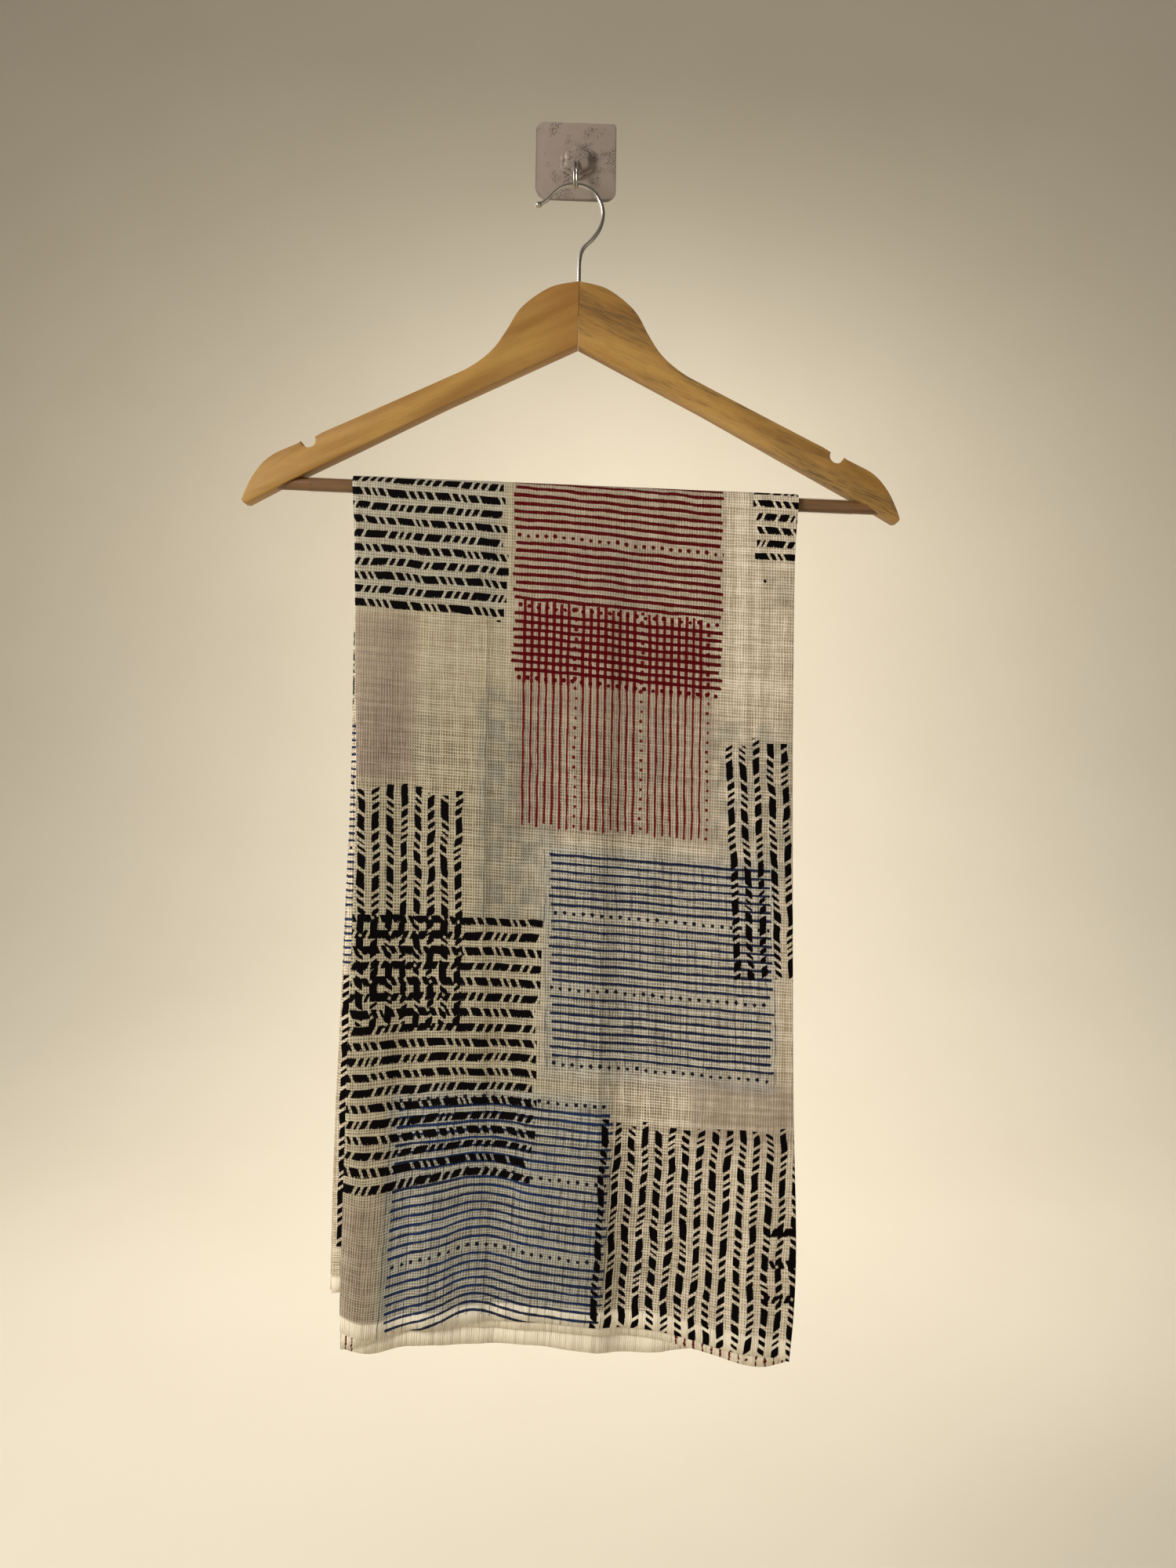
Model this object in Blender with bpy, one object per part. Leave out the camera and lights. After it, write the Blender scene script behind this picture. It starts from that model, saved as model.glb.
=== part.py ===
"""An ajrakh cloth folded over the bar of a wooden hanger, which hangs on a stick-on wall hook.

Metres, +Z up, +X to the right, -Y towards the viewer. The origin is the middle of the wall
plate's back face, and the wall would be the plane Y = 0.
"""

import math

import bmesh
import bpy
from mathutils import Matrix, Vector

MM = 0.001
FIT = 0.3 * MM  # air left between two pieces that meet

# Hanger: its own frame starts at the inner corner under the neck, on its middle plane
HANGER_CORNER = Vector((3.1, -17.0, -136.0)) * MM
HANGER_TILT = math.radians(0.45)  # it hangs a little lower on the right
WOOD_THICK = 12.0 * MM
WOOD_EDGE = 1.6 * MM  # rounding along the arms
NECK_BORE_FLOOR = 19.0 * MM
NOTCH_OUT = 180.5 * MM
NOTCH_HEIGHT = -67.0 * MM
NOTCH_RADIUS = 5.0 * MM

# Trouser bar: a dowel held in a blind hole in each arm, with a clear sleeve pushed over it
BAR_RADIUS = 4.4 * MM
BAR_LEFT = -206.0 * MM
BAR_RIGHT = 208.0 * MM
BAR_DROP = -100.0 * MM  # height of its middle below the inner corner
BAR_LEAN = -0.021  # rise for each metre to the right
SLEEVE_LEFT = -180.0 * MM
SLEEVE_RIGHT = 188.5 * MM
SLEEVE_WALL = 0.4 * MM

# Wires
HANGER_WIRE_RADIUS = 1.4 * MM
BALL_RADIUS = 2.2 * MM
WALL_WIRE_RADIUS = 0.7 * MM

# Wall plate, soft clear plastic, with a moulded six-petal boss
PLATE_THICK = 1.2 * MM
BOSS_CENTRE = (0.7 * MM, -1.3 * MM)
BOSS_RADIUS = 11.9 * MM
BOSS_PETAL = 0.8 * MM
BOSS_FRONT = 6.4 * MM  # distance of its front face from the wall

# Cloth: four layers folded back and forth, hung over the bar
SHEET = 1.0 * MM
LAYER_AIR = 0.6 * MM
LAYERS = 4
CLOTH_WIDTH = 1.150  # selvedge to selvedge, up the front, over the bar and down the back
BAR_AIR = 0.4 * MM
LAYER_STEP = SHEET + LAYER_AIR
INNER_LAYER_RADIUS = BAR_RADIUS + FIT + SLEEVE_WALL + BAR_AIR + SHEET / 2
OVER_BAR = math.pi * (INNER_LAYER_RADIUS + LAYER_STEP * (LAYERS - 1) / 2)

# One arm's outline: distance out from the seam and height above the inner corner, in mm
ARM_TOP = (
    (0.0, 43.3),
    (17.0, 39.8),
    (30.0, 32.3),
    (40.5, 22.6),
    (48.5, 9.0),
    (58.0, -4.4),
    (72.0, -15.6),
    (90.0, -24.6),
    (149.0, -52.2),
    (187.0, -69.8),
    (205.5, -78.8),
    (216.0, -90.0),
    (222.0, -101.6),
    (224.6, -108.6),
)
ARM_TIP = ((223.6, -110.3), (221.0, -110.6))
ARM_UNDERSIDE = ((201.3, -99.8), (139.6, -68.6), (88.0, -42.3), (0.0, 0.0))
ARM_SPAN = 223.5
OUTLINE_STEPS = 3

# Each arm: side, reach from the seam to the tip in mm, and how much steeper it slopes
ARMS = (
    ("arm_left", -1.0, 223.5, 0.0),
    ("arm_right", 1.0, 218.5, 0.018),
)

# Middle line of the hanger's steel hook, across and up in mm, from its root to the ball
HANGER_WIRE = (
    (-0.4, 20.0),
    (-0.4, 46.0),
    (-0.2, 60.0),
    (2.0, 67.4),
    (8.2, 74.0),
    (13.4, 82.4),
    (15.0, 93.0),
    (11.6, 102.6),
    (4.6, 109.2),
    (-4.4, 111.2),
    (-12.2, 109.6),
    (-18.4, 105.2),
    (-23.4, 99.9),
    (-28.6, 97.2),
)

# Half of the wall hook's bent wire, from its anchor in the boss to the top of its curl
WALL_WIRE_IN_BOSS = (
    (9.6, -3.8, -2.0),
    (6.4, -3.8, 0.4),
    (3.4, -4.1, 0.8),
    (1.7, -5.4, -1.9),
    (1.2, -7.4, -6.4),
)
WALL_WIRE_BELOW = (
    (0.95, -9.6, -13.4),
    (0.95, -11.9, -20.6),
    (0.95, -13.8, -25.6),
    (0.95, -17.2, -27.5),
    (0.95, -20.6, -25.6),
    (0.95, -22.0, -21.6),
    (0.95, -22.2, -18.0),
)
WALL_WIRE_TOP = (0.0, -22.2, -16.8)

# The wall plate's corners: across and up in mm, and the radius of each
PLATE_CORNERS = (
    (-28.2, 26.5, 6.0),
    (27.5, 25.6, 2.6),
    (27.6, -28.3, 7.5),
    (-28.4, -27.3, 8.5),
)

# The cloth's outline: distance below the bar, then the left and right edge, in mm
FRONT_EDGES = (
    (-12.0, -147.6, 153.6),
    (0.0, -147.4, 153.2),
    (30.0, -145.6, 151.1),
    (85.0, -143.7, 150.0),
    (200.0, -141.2, 150.6),
    (290.0, -142.2, 152.0),
    (400.0, -144.8, 153.9),
    (500.0, -146.6, 157.1),
    (545.0, -147.4, 156.0),
    (582.0, -146.8, 153.0),
)
BACK_EDGES = (
    (0.0, -147.4, 153.2),
    (113.0, -147.9, 151.0),
    (202.0, -148.6, 149.0),
    (310.0, -152.0, 148.0),
    (445.0, -156.5, 147.0),
    (582.0, -158.6, 146.5),
)

# Front hems: place across, then each layer's length below the bar, outer layer first, in mm
HEMS = (
    (-148.0, 568.5, 581.5, 581.5, 579.5),
    (-128.0, 573.5, 575.0, 583.5, 581.5),
    (-102.0, 567.0, 565.0, 578.5, 576.5),
    (-75.0, 563.5, 563.5, 576.5, 574.5),
    (-42.0, 558.5, 564.0, 575.0, 573.0),
    (-12.0, 557.2, 562.5, 574.0, 572.0),
    (33.0, 559.0, 564.5, 576.8, 574.5),
    (63.0, 559.8, 565.5, 575.8, 573.5),
    (84.0, 564.0, 570.0, 572.0, 570.0),
    (107.0, 569.3, 575.2, 570.0, 568.0),
    (128.0, 572.6, 580.0, 571.0, 569.0),
    (143.0, 574.2, 580.2, 571.3, 569.7),
    (155.0, 577.0, 577.0, 571.0, 571.0),
)

# Soft creases and waves: place across, half width, height towards the viewer, and the
# distances below the bar where each starts and where it is full, in mm
FRONT_WAVES = (
    (-54.0, 8.0, 1.2, 60.0, 150.0),
    (22.0, 8.0, 1.4, 210.0, 320.0),
    (-126.0, 20.0, 2.6, 400.0, 580.0),
    (-86.0, 16.0, -2.2, 430.0, 580.0),
    (-42.0, 18.0, 2.4, 420.0, 580.0),
    (48.0, 32.0, 2.8, 380.0, 580.0),
    (104.0, 24.0, -2.0, 400.0, 580.0),
)
BACK_WAVES = (
    (-110.0, 30.0, 2.2, 200.0, 560.0),
    (-30.0, 26.0, -1.8, 260.0, 560.0),
    (60.0, 34.0, 2.4, 220.0, 560.0),
)

# Columns across one layer, in mm at the front, and rows as shares of a leg's length
COLUMNS = (-134, -118, -102, -86, -70, -61, -54, -47, -34, -12, 8, 15, 22, 29, 48, 70, 92, 116, 138)
COLUMN_MIDDLE = 3.0
COLUMN_SPAN = 302.0
LEG_ROWS = (1.0, 0.94, 0.86, 0.76, 0.62, 0.44, 0.22, 0.0)
BAR_ROWS = 6
FOLD_ROWS = 4


def clear_scene():
    for thing in list(bpy.data.objects):
        bpy.data.objects.remove(thing, do_unlink=True)


def finish(name, colour, roughness, metallic=0.0):
    """A plain material in the piece's own colour."""
    material = bpy.data.materials.new(name)
    material.use_nodes = True
    shader = material.node_tree.nodes["Principled BSDF"]
    shader.inputs["Base Color"].default_value = (*colour, 1.0)
    shader.inputs["Roughness"].default_value = roughness
    shader.inputs["Metallic"].default_value = metallic
    return material


def add_object(name, data, material=None, parent=None):
    thing = bpy.data.objects.new(name, data)
    bpy.context.collection.objects.link(thing)
    if material:
        data.materials.append(material)
    if parent:
        thing.parent = parent
    return thing


def add_mesh(name, bm, material=None, parent=None):
    """Turn a bmesh into an object, with its faces pointing out."""
    bm.normal_update()
    bmesh.ops.recalc_face_normals(bm, faces=bm.faces)
    mesh = bpy.data.meshes.new(name)
    bm.to_mesh(mesh)
    bm.free()
    return add_object(name, mesh, material, parent)


def shade_round(thing, sharp_angle=35.0):
    thing.data.shade_smooth()
    thing.data.set_sharp_from_angle(angle=math.radians(sharp_angle))


def cut(thing, cutter):
    """Take a cutter's shape out of a piece. The cutter itself isn't part of the object."""
    boolean(thing, cutter, "DIFFERENCE")


def join(thing, addition):
    """Grow a piece by a second shape that runs into it."""
    boolean(thing, addition, "UNION")


def boolean(thing, other, operation):
    step = thing.modifiers.new(other.name, "BOOLEAN")
    step.operation = operation
    step.solver = "EXACT"
    step.object = other
    other.hide_render = True
    other.display_type = "WIRE"


def rod(name, start, end, radius, sides=24, material=None, parent=None):
    """A round rod between two points."""
    start, end = Vector(start), Vector(end)
    along = end - start
    bm = bmesh.new()
    bmesh.ops.create_cone(
        bm, cap_ends=True, segments=sides, radius1=radius, radius2=radius, depth=along.length
    )
    turn = along.to_track_quat("Z", "Y").to_matrix().to_4x4()
    bm.transform(Matrix.Translation((start + end) / 2) @ turn)
    return add_mesh(name, bm, material, parent)


def wire(name, points, radius, bend_steps=3, material=None, parent=None):
    """A round wire that runs smoothly through the given points, closed at both ends."""
    curve = bpy.data.curves.new(name, "CURVE")
    curve.dimensions = "3D"
    curve.bevel_depth = radius
    curve.bevel_resolution = 3
    curve.use_fill_caps = True
    curve.resolution_u = bend_steps
    spline = curve.splines.new("BEZIER")
    spline.bezier_points.add(len(points) - 1)
    for point, place in zip(spline.bezier_points, points):
        point.co = place
        point.handle_left_type = "AUTO"
        point.handle_right_type = "AUTO"
    guide = add_object(f"{name}_guide", curve)
    bpy.context.view_layer.update()
    bm = bmesh.new()
    bm.from_mesh(guide.evaluated_get(bpy.context.evaluated_depsgraph_get()).to_mesh())
    bmesh.ops.remove_doubles(bm, verts=bm.verts, dist=0.001 * MM)
    bpy.data.objects.remove(guide, do_unlink=True)
    thing = add_mesh(name, bm, material, parent)
    shade_round(thing, 50.0)
    return thing


def board(name, outline, back, front, edge, seam=None, material=None, parent=None):
    """A flat board cut to an outline in X and Z, with rounded edges on both faces.

    An edge that lies on the seam, where two boards meet, stays sharp.
    """
    bm = bmesh.new()
    corners = [bm.verts.new((x, back, z)) for x, z in outline]
    face = bm.faces.new(corners)
    grown = bmesh.ops.extrude_face_region(bm, geom=[face])["geom"]
    moved = [part for part in grown if isinstance(part, bmesh.types.BMVert)]
    bmesh.ops.translate(bm, verts=moved, vec=(0.0, front - back, 0.0))

    def rounded(rim):
        first, second = rim.verts
        flat = abs(first.co.y - second.co.y) < 1e-6
        on_seam = seam is not None and max(abs(first.co.x - seam), abs(second.co.x - seam)) < 1e-6
        return flat and not on_seam

    rims = [rim for rim in bm.edges if rounded(rim)]
    bmesh.ops.bevel(
        bm,
        geom=rims,
        offset=edge,
        offset_type="OFFSET",
        affect="EDGES",
        segments=2,
        profile=0.5,
        material=-1,
    )
    return add_mesh(name, bm, material, parent)


def smooth_line(points, steps):
    """Points on a smooth line through the given ones, with steps between each two."""
    line = []
    last = len(points) - 1
    for index in range(last):
        before = Vector(points[max(index - 1, 0)])
        start = Vector(points[index])
        end = Vector(points[index + 1])
        after = Vector(points[min(index + 2, last)])
        for step in range(steps):
            t = step / steps
            line.append(
                0.5
                * (
                    2 * start
                    + (end - before) * t
                    + (2 * before - 5 * start + 4 * end - after) * t * t
                    + (3 * start - before - 3 * end + after) * t**3
                )
            )
    line.append(Vector(points[last]))
    return line


def between(table, place, column):
    """Read one column of a table at a place, on a smooth line through its rows."""
    places = [row[0] for row in table]
    values = [row[column] for row in table]
    last = len(table) - 1
    if place <= places[0]:
        return values[0]
    if place >= places[last]:
        return values[last]
    low = max(index for index in range(last) if places[index] <= place)
    gap = places[low + 1] - places[low]

    def slope(index):
        before, after = max(index - 1, 0), min(index + 1, last)
        return (values[after] - values[before]) / (places[after] - places[before]) * gap

    t = (place - places[low]) / gap
    start, end = values[low], values[low + 1]
    return (
        start * (1.0 + 2.0 * t) * (1.0 - t) ** 2
        + end * t * t * (3.0 - 2.0 * t)
        + slope(low) * t * (1.0 - t) ** 2
        - slope(low + 1) * t * t * (1.0 - t)
    )


def bar_point(across):
    """A point on the bar's middle line, in the hanger's frame."""
    return Vector((across, 0.0, BAR_DROP + BAR_LEAN * across))


def arm_outline(side, reach, slope):
    """One arm's outline, from the seam along the top to the tip and back underneath."""
    top = smooth_line(ARM_TOP, OUTLINE_STEPS)
    points = [*top, *map(Vector, ARM_TIP), *map(Vector, ARM_UNDERSIDE)]
    outline = []
    for point in points:
        out = max(point.x * reach / ARM_SPAN, 0.5 * FIT / MM)
        outline.append((side * out * MM, (point.y - slope * out) * MM))
    return outline


def make_arm(name, side, reach, slope, material, hanger):
    """A flat wooden arm with its strap notch, its half of the neck bore and its bar hole."""
    seam = side * 0.5 * FIT
    outline = arm_outline(side, reach, slope)
    arm = board(
        name, outline, -WOOD_THICK / 2, WOOD_THICK / 2, WOOD_EDGE, seam, material, hanger
    )
    notch_out = NOTCH_OUT * reach / ARM_SPAN
    notch = Vector((side * notch_out, 0.0, NOTCH_HEIGHT - slope * notch_out))
    through = Vector((0.0, WOOD_THICK, 0.0))
    notch_cutter = rod(
        f"{name}_notch", notch - through, notch + through, NOTCH_RADIUS, 20, None, hanger
    )
    cut(arm, notch_cutter)
    root_x = HANGER_WIRE[0][0] * MM
    neck_cutter = rod(
        f"{name}_neck_bore",
        (root_x, 0.0, NECK_BORE_FLOOR),
        (root_x, 0.0, 60.0 * MM),
        HANGER_WIRE_RADIUS + FIT,
        16,
        None,
        hanger,
    )
    cut(arm, neck_cutter)
    end = BAR_LEFT if side < 0 else BAR_RIGHT
    hole_cutter = rod(
        f"{name}_bar_hole",
        bar_point(end + side * FIT),
        bar_point(side * 140.0 * MM),
        BAR_RADIUS + FIT,
        24,
        None,
        hanger,
    )
    cut(arm, hole_cutter)
    return arm


def make_bar(hanger):
    wood = finish("pale dowel wood", (0.36, 0.20, 0.11), 0.45)
    bar = rod(
        "trouser_bar", bar_point(BAR_LEFT), bar_point(BAR_RIGHT), BAR_RADIUS, 24, wood, hanger
    )
    shade_round(bar)


def make_sleeve(hanger):
    """The clear tube that keeps cloth from sliding off the bar."""
    clear = finish("clear sleeve", (0.55, 0.45, 0.38), 0.15)
    inside = BAR_RADIUS + FIT
    start, end = bar_point(SLEEVE_LEFT), bar_point(SLEEVE_RIGHT)
    past = (end - start).normalized() * 5.0 * MM
    sleeve = rod("bar_sleeve", start, end, inside + SLEEVE_WALL, 24, clear, hanger)
    hole = rod("bar_sleeve_hole", start - past, end + past, inside, 24, None, hanger)
    cut(sleeve, hole)
    shade_round(sleeve)


def make_hanger_hook(hanger):
    """The steel wire hook, with a small ball on its free end."""
    steel = finish("bright steel", (0.62, 0.60, 0.56), 0.25, 1.0)
    points = [(x * MM, 0.0, z * MM) for x, z in HANGER_WIRE]
    hook = wire("hanger_hook", points, HANGER_WIRE_RADIUS, 3, steel, hanger)
    bm = bmesh.new()
    bmesh.ops.create_icosphere(bm, subdivisions=2, radius=BALL_RADIUS)
    bm.transform(Matrix.Translation(points[-1]))
    ball = add_mesh("hanger_hook_ball", bm, None, hanger)
    join(hook, ball)


def plate_outline():
    """The plate's outline: straight sides with a round arc at each corner."""
    outline = []
    turns = (90.0, 0.0, -90.0, -180.0)
    for (x, z, radius), start in zip(PLATE_CORNERS, turns):
        towards_x = 1.0 if x < 0 else -1.0
        towards_z = 1.0 if z < 0 else -1.0
        middle = Vector((x + towards_x * radius, z + towards_z * radius))
        for step in range(6):
            angle = math.radians(start + 90.0 - 90.0 * step / 5)
            spot = middle + radius * Vector((math.cos(angle), math.sin(angle)))
            outline.append((spot.x * MM, spot.y * MM))
    return outline


def boss_outline():
    """The boss's outline: a circle with six shallow petals."""
    outline = []
    count = 48
    for step in range(count):
        angle = 2.0 * math.pi * step / count
        radius = BOSS_RADIUS + BOSS_PETAL * math.cos(6.0 * (angle - math.pi / 2))
        across = BOSS_CENTRE[0] + radius * math.cos(angle)
        height = BOSS_CENTRE[1] + radius * math.sin(angle)
        outline.append((across, height))
    return outline


def make_wall_plate():
    """The stick-on plate and its boss, with a channel for each end of the wall hook's wire."""
    clear = finish("soft clear plastic", (0.42, 0.38, 0.38), 0.3)
    plate = board("wall_plate", plate_outline(), 0.0, -PLATE_THICK, 0.3 * MM, None, clear)
    boss = board("wall_plate_boss", boss_outline(), -0.5 * PLATE_THICK, -BOSS_FRONT, 0.5 * MM)
    join(plate, boss)
    for side in (-1.0, 1.0):
        points = [(side * x * MM, y * MM, z * MM) for x, y, z in WALL_WIRE_IN_BOSS]
        start, onward = Vector(points[0]), Vector(points[1])
        points[0] = start + (start - onward).normalized() * FIT
        label = "left" if side < 0 else "right"
        channel = wire(f"wall_plate_channel_{label}", points, WALL_WIRE_RADIUS + FIT, 3)
        cut(plate, channel)


def make_wall_hook():
    """One wire bent double: down from the boss, out, and up into a narrow curl."""
    steel = finish("thin steel", (0.60, 0.58, 0.54), 0.22, 1.0)
    half = [*WALL_WIRE_IN_BOSS, *WALL_WIRE_BELOW]
    left = [(-x * MM, y * MM, z * MM) for x, y, z in half]
    right = [(x * MM, y * MM, z * MM) for x, y, z in reversed(half)]
    top = tuple(value * MM for value in WALL_WIRE_TOP)
    wire("wall_hook", [*left, top, *right], WALL_WIRE_RADIUS, 2, steel)


def bar_height(across):
    """Height of the bar's middle line in the object's frame, at a place across in metres."""
    lean = BAR_LEAN - math.tan(HANGER_TILT)
    return HANGER_CORNER.z + BAR_DROP + lean * (across - HANGER_CORNER.x)


def wave(table, across, below):
    """How far the cloth stands forward of its flat place, in mm."""
    total = 0.0
    for centre, spread, lift, start, full in table:
        share = min(max((below - start) / (full - start), 0.0), 1.0)
        share = share * share * (3.0 - 2.0 * share)
        total += lift * share * math.exp(-(((across - centre) / spread) ** 2))
    return total


def section():
    """The folded section, outer layer first: for each column its share across the cloth
    and its depth in the stack, counted in layers from the bar.
    """
    shares = [(x - COLUMN_MIDDLE) / COLUMN_SPAN + 0.5 for x in COLUMNS]
    rows = [(0.0, float(LAYERS - 1), 0.0)]
    for layer in range(LAYERS):
        depth = float(LAYERS - 1 - layer)
        runs_right = layer % 2 == 0
        rows += [(share, depth, 0.0) for share in (shares if runs_right else shares[::-1])]
        edge = 1.0 if runs_right else 0.0
        if layer == LAYERS - 1:
            rows.append((edge, depth, 0.0))
            continue
        for step in range(FOLD_ROWS + 1):
            turn = math.pi * step / FOLD_ROWS
            bulge = math.sin(turn) - 1.0
            rows.append((edge, depth - 0.5 + 0.5 * math.cos(turn), bulge if edge else -bulge))
    return rows


def hem_length(across, depth):
    """Length of the front leg below the bar at a place across, in mm."""
    column = 1 + (LAYERS - 1 - depth)
    low = int(math.floor(column))
    share = column - low
    first = between(HEMS, across, low)
    if share == 0.0:
        return first
    return first + (between(HEMS, across, low + 1) - first) * share


def cloth_place(share, depth, bulge, leg, along):
    """A point on the middle of the sheet.

    The leg is front, bar or back, and along runs from 1 at a hem to 0 at the bar, or over
    the bar as the share of its half turn.
    """
    radius = INNER_LAYER_RADIUS + depth * LAYER_STEP
    inset = 1.5 * (LAYERS - 1 - depth) * (0.5 - share)
    place = (share - 0.5) * COLUMN_SPAN + COLUMN_MIDDLE
    length = hem_length(place, depth)
    if leg == "back":
        length = (CLOTH_WIDTH - OVER_BAR) / MM - length
    below = 0.0 if leg == "bar" else along * length
    edges = BACK_EDGES if leg == "back" else FRONT_EDGES
    left, right = between(edges, below, 1), between(edges, below, 2)
    across = left + (right - left) * share + inset + bulge * LAYER_STEP / 2 / MM
    angle = {"front": 0.0, "back": math.pi, "bar": math.pi * along}[leg]
    forward = radius * math.cos(angle)
    if leg == "front":
        forward += wave(FRONT_WAVES, across, below) * MM
    if leg == "back":
        forward -= wave(BACK_WAVES, across, below) * MM * 0.6
    height = bar_height(across * MM) + radius * math.sin(angle) - below * MM
    return Vector((across * MM, HANGER_CORNER.y - forward, height))


def make_cloth():
    """The cloth as one sheet: a grid laid on the fold, then given its thickness."""
    columns = section()
    stations = [("front", row) for row in LEG_ROWS]
    stations += [("bar", step / BAR_ROWS) for step in range(1, BAR_ROWS)]
    stations += [("back", row) for row in reversed(LEG_ROWS)]
    bm = bmesh.new()
    bmesh.ops.create_grid(
        bm, x_segments=len(columns) - 1, y_segments=len(stations) - 1, size=1.0
    )
    for vert in bm.verts:
        column = round((vert.co.x + 1.0) / 2.0 * (len(columns) - 1))
        station = round((vert.co.y + 1.0) / 2.0 * (len(stations) - 1))
        vert.co = cloth_place(*columns[column], *stations[station])
    cotton = finish("printed cotton", (0.62, 0.56, 0.43), 0.85)
    cloth = add_mesh("ajrakh_cloth", bm, cotton)
    thickness = cloth.modifiers.new("sheet thickness", "SOLIDIFY")
    thickness.thickness = SHEET
    thickness.offset = 0.0
    thickness.use_even_offset = True
    shade_round(cloth, 60.0)


def make_hanger():
    hanger = add_object("hanger_frame", None)
    hanger.location = HANGER_CORNER
    hanger.rotation_euler = (0.0, HANGER_TILT, 0.0)
    wood = finish("waxed pale wood", (0.38, 0.23, 0.08), 0.4)
    for name, side, reach, slope in ARMS:
        make_arm(name, side, reach, slope, wood, hanger)
    make_bar(hanger)
    make_sleeve(hanger)
    make_hanger_hook(hanger)


def main():
    clear_scene()
    make_wall_plate()
    make_wall_hook()
    make_hanger()
    make_cloth()


main()
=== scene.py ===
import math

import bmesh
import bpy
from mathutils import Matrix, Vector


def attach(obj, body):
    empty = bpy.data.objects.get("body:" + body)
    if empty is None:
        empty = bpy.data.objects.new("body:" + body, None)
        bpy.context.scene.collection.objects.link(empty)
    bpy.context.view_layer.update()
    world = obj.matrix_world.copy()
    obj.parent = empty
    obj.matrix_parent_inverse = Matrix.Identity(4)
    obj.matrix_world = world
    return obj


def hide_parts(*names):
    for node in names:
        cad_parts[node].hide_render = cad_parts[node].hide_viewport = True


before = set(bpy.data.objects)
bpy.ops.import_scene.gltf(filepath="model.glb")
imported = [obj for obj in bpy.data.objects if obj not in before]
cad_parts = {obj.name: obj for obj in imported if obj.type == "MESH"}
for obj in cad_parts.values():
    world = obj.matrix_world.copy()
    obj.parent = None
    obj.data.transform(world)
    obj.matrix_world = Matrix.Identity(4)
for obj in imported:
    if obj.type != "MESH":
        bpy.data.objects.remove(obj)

# %% [markdown]
# # An ajrakh cloth on a wooden hanger
#
# The real object is a length of open-check cotton, block-printed in black, madder and indigo,
# folded back and forth and hung over the bar of a flat wooden hanger. The hanger hangs by its
# steel hook on a clear plate that sticks to a wall. The solid model gives every size and place,
# and this lesson dresses it: finer wood, wire and plastic, and a thin printed sheet.

MM = 0.001
FULL_TURN = 2.0 * math.pi
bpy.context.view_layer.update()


def from_screen(red, green, blue):
    """A colour as a screen shows it, 0 to 255, as the linear colour that shaders use."""
    def linear(value):
        value /= 255.0
        return value / 12.92 if value <= 0.04045 else ((value + 0.055) / 1.055) ** 2.4
    return (linear(red), linear(green), linear(blue), 1.0)


def put_in_scene(name, data):
    """A new object in the scene, with the mesh, light or camera that it shows."""
    made = bpy.data.objects.new(name, data)
    bpy.context.scene.collection.objects.link(made)
    return made


# %% [markdown]
# ## Camera
#
# The photograph was taken from straight in front, about 0.8 m away and level with the middle of
# the cloth, with the phone turned by less than a degree. A tall frame needs the sensor fitted
# to its height, so that the lens keeps its meaning.

# %% Camera
CAMERA_PLACE = Vector((14.0, -817.0, -431.7)) * MM
CAMERA_ROLL = math.radians(0.78)
LENS = 27.05

camera = put_in_scene("camera", bpy.data.cameras.new("camera"))
camera.data.sensor_fit = "VERTICAL"
camera.data.sensor_width = 36.0
camera.data.sensor_height = 36.0
camera.data.lens = LENS
camera.data.clip_start = 0.01
camera.matrix_world = (
    Matrix.Translation(CAMERA_PLACE)
    @ Matrix.Rotation(math.radians(90.0), 4, "X")
    @ Matrix.Rotation(CAMERA_ROLL, 4, "Z")
)
bpy.context.scene.camera = camera
print("camera stands", round((CAMERA_PLACE - Vector((0, -0.017, -0.43))).length, 3), "m away")

# %% [markdown]
# ## Values and finishes
#
# A material is a small recipe. Written as nodes it soon becomes hard to read, so one class
# wraps a socket and lets sums be written as Python does, and a second class makes the nodes.

# %% Values and finishes
class Value:
    """A number or colour that changes over a surface: one node's output."""

    def __init__(self, finish, socket):
        self.finish, self.socket = finish, socket

    def math(self, operation, *others):
        inputs = dict(enumerate((self, *others)))
        return self.finish.node("ShaderNodeMath", {"operation": operation}, inputs)

    def __add__(self, other):
        return self.math("ADD", other)

    def __sub__(self, other):
        return self.math("SUBTRACT", other)

    def __rsub__(self, other):
        inputs = {0: other, 1: self}
        return self.finish.node("ShaderNodeMath", {"operation": "SUBTRACT"}, inputs)

    def __mul__(self, other):
        return self.math("MULTIPLY", other)

    def __truediv__(self, other):
        return self.math("DIVIDE", other)

    def __lt__(self, other):
        return self.math("LESS_THAN", other)

    def __gt__(self, other):
        return self.math("GREATER_THAN", other)

    __radd__ = __add__
    __rmul__ = __mul__

    def absolute(self):
        return self.math("ABSOLUTE")

    def least(self, other):
        return self.math("MINIMUM", other)

    def most(self, other):
        return self.math("MAXIMUM", other)

    def step(self, low, high):
        """0 below low and 1 above high, with a soft step between them."""
        settings = {"interpolation_type": "SMOOTHSTEP"}
        inputs = {0: self, 1: low, 2: high, 3: 0.0, 4: 1.0}
        return self.finish.node("ShaderNodeMapRange", settings, inputs)


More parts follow.
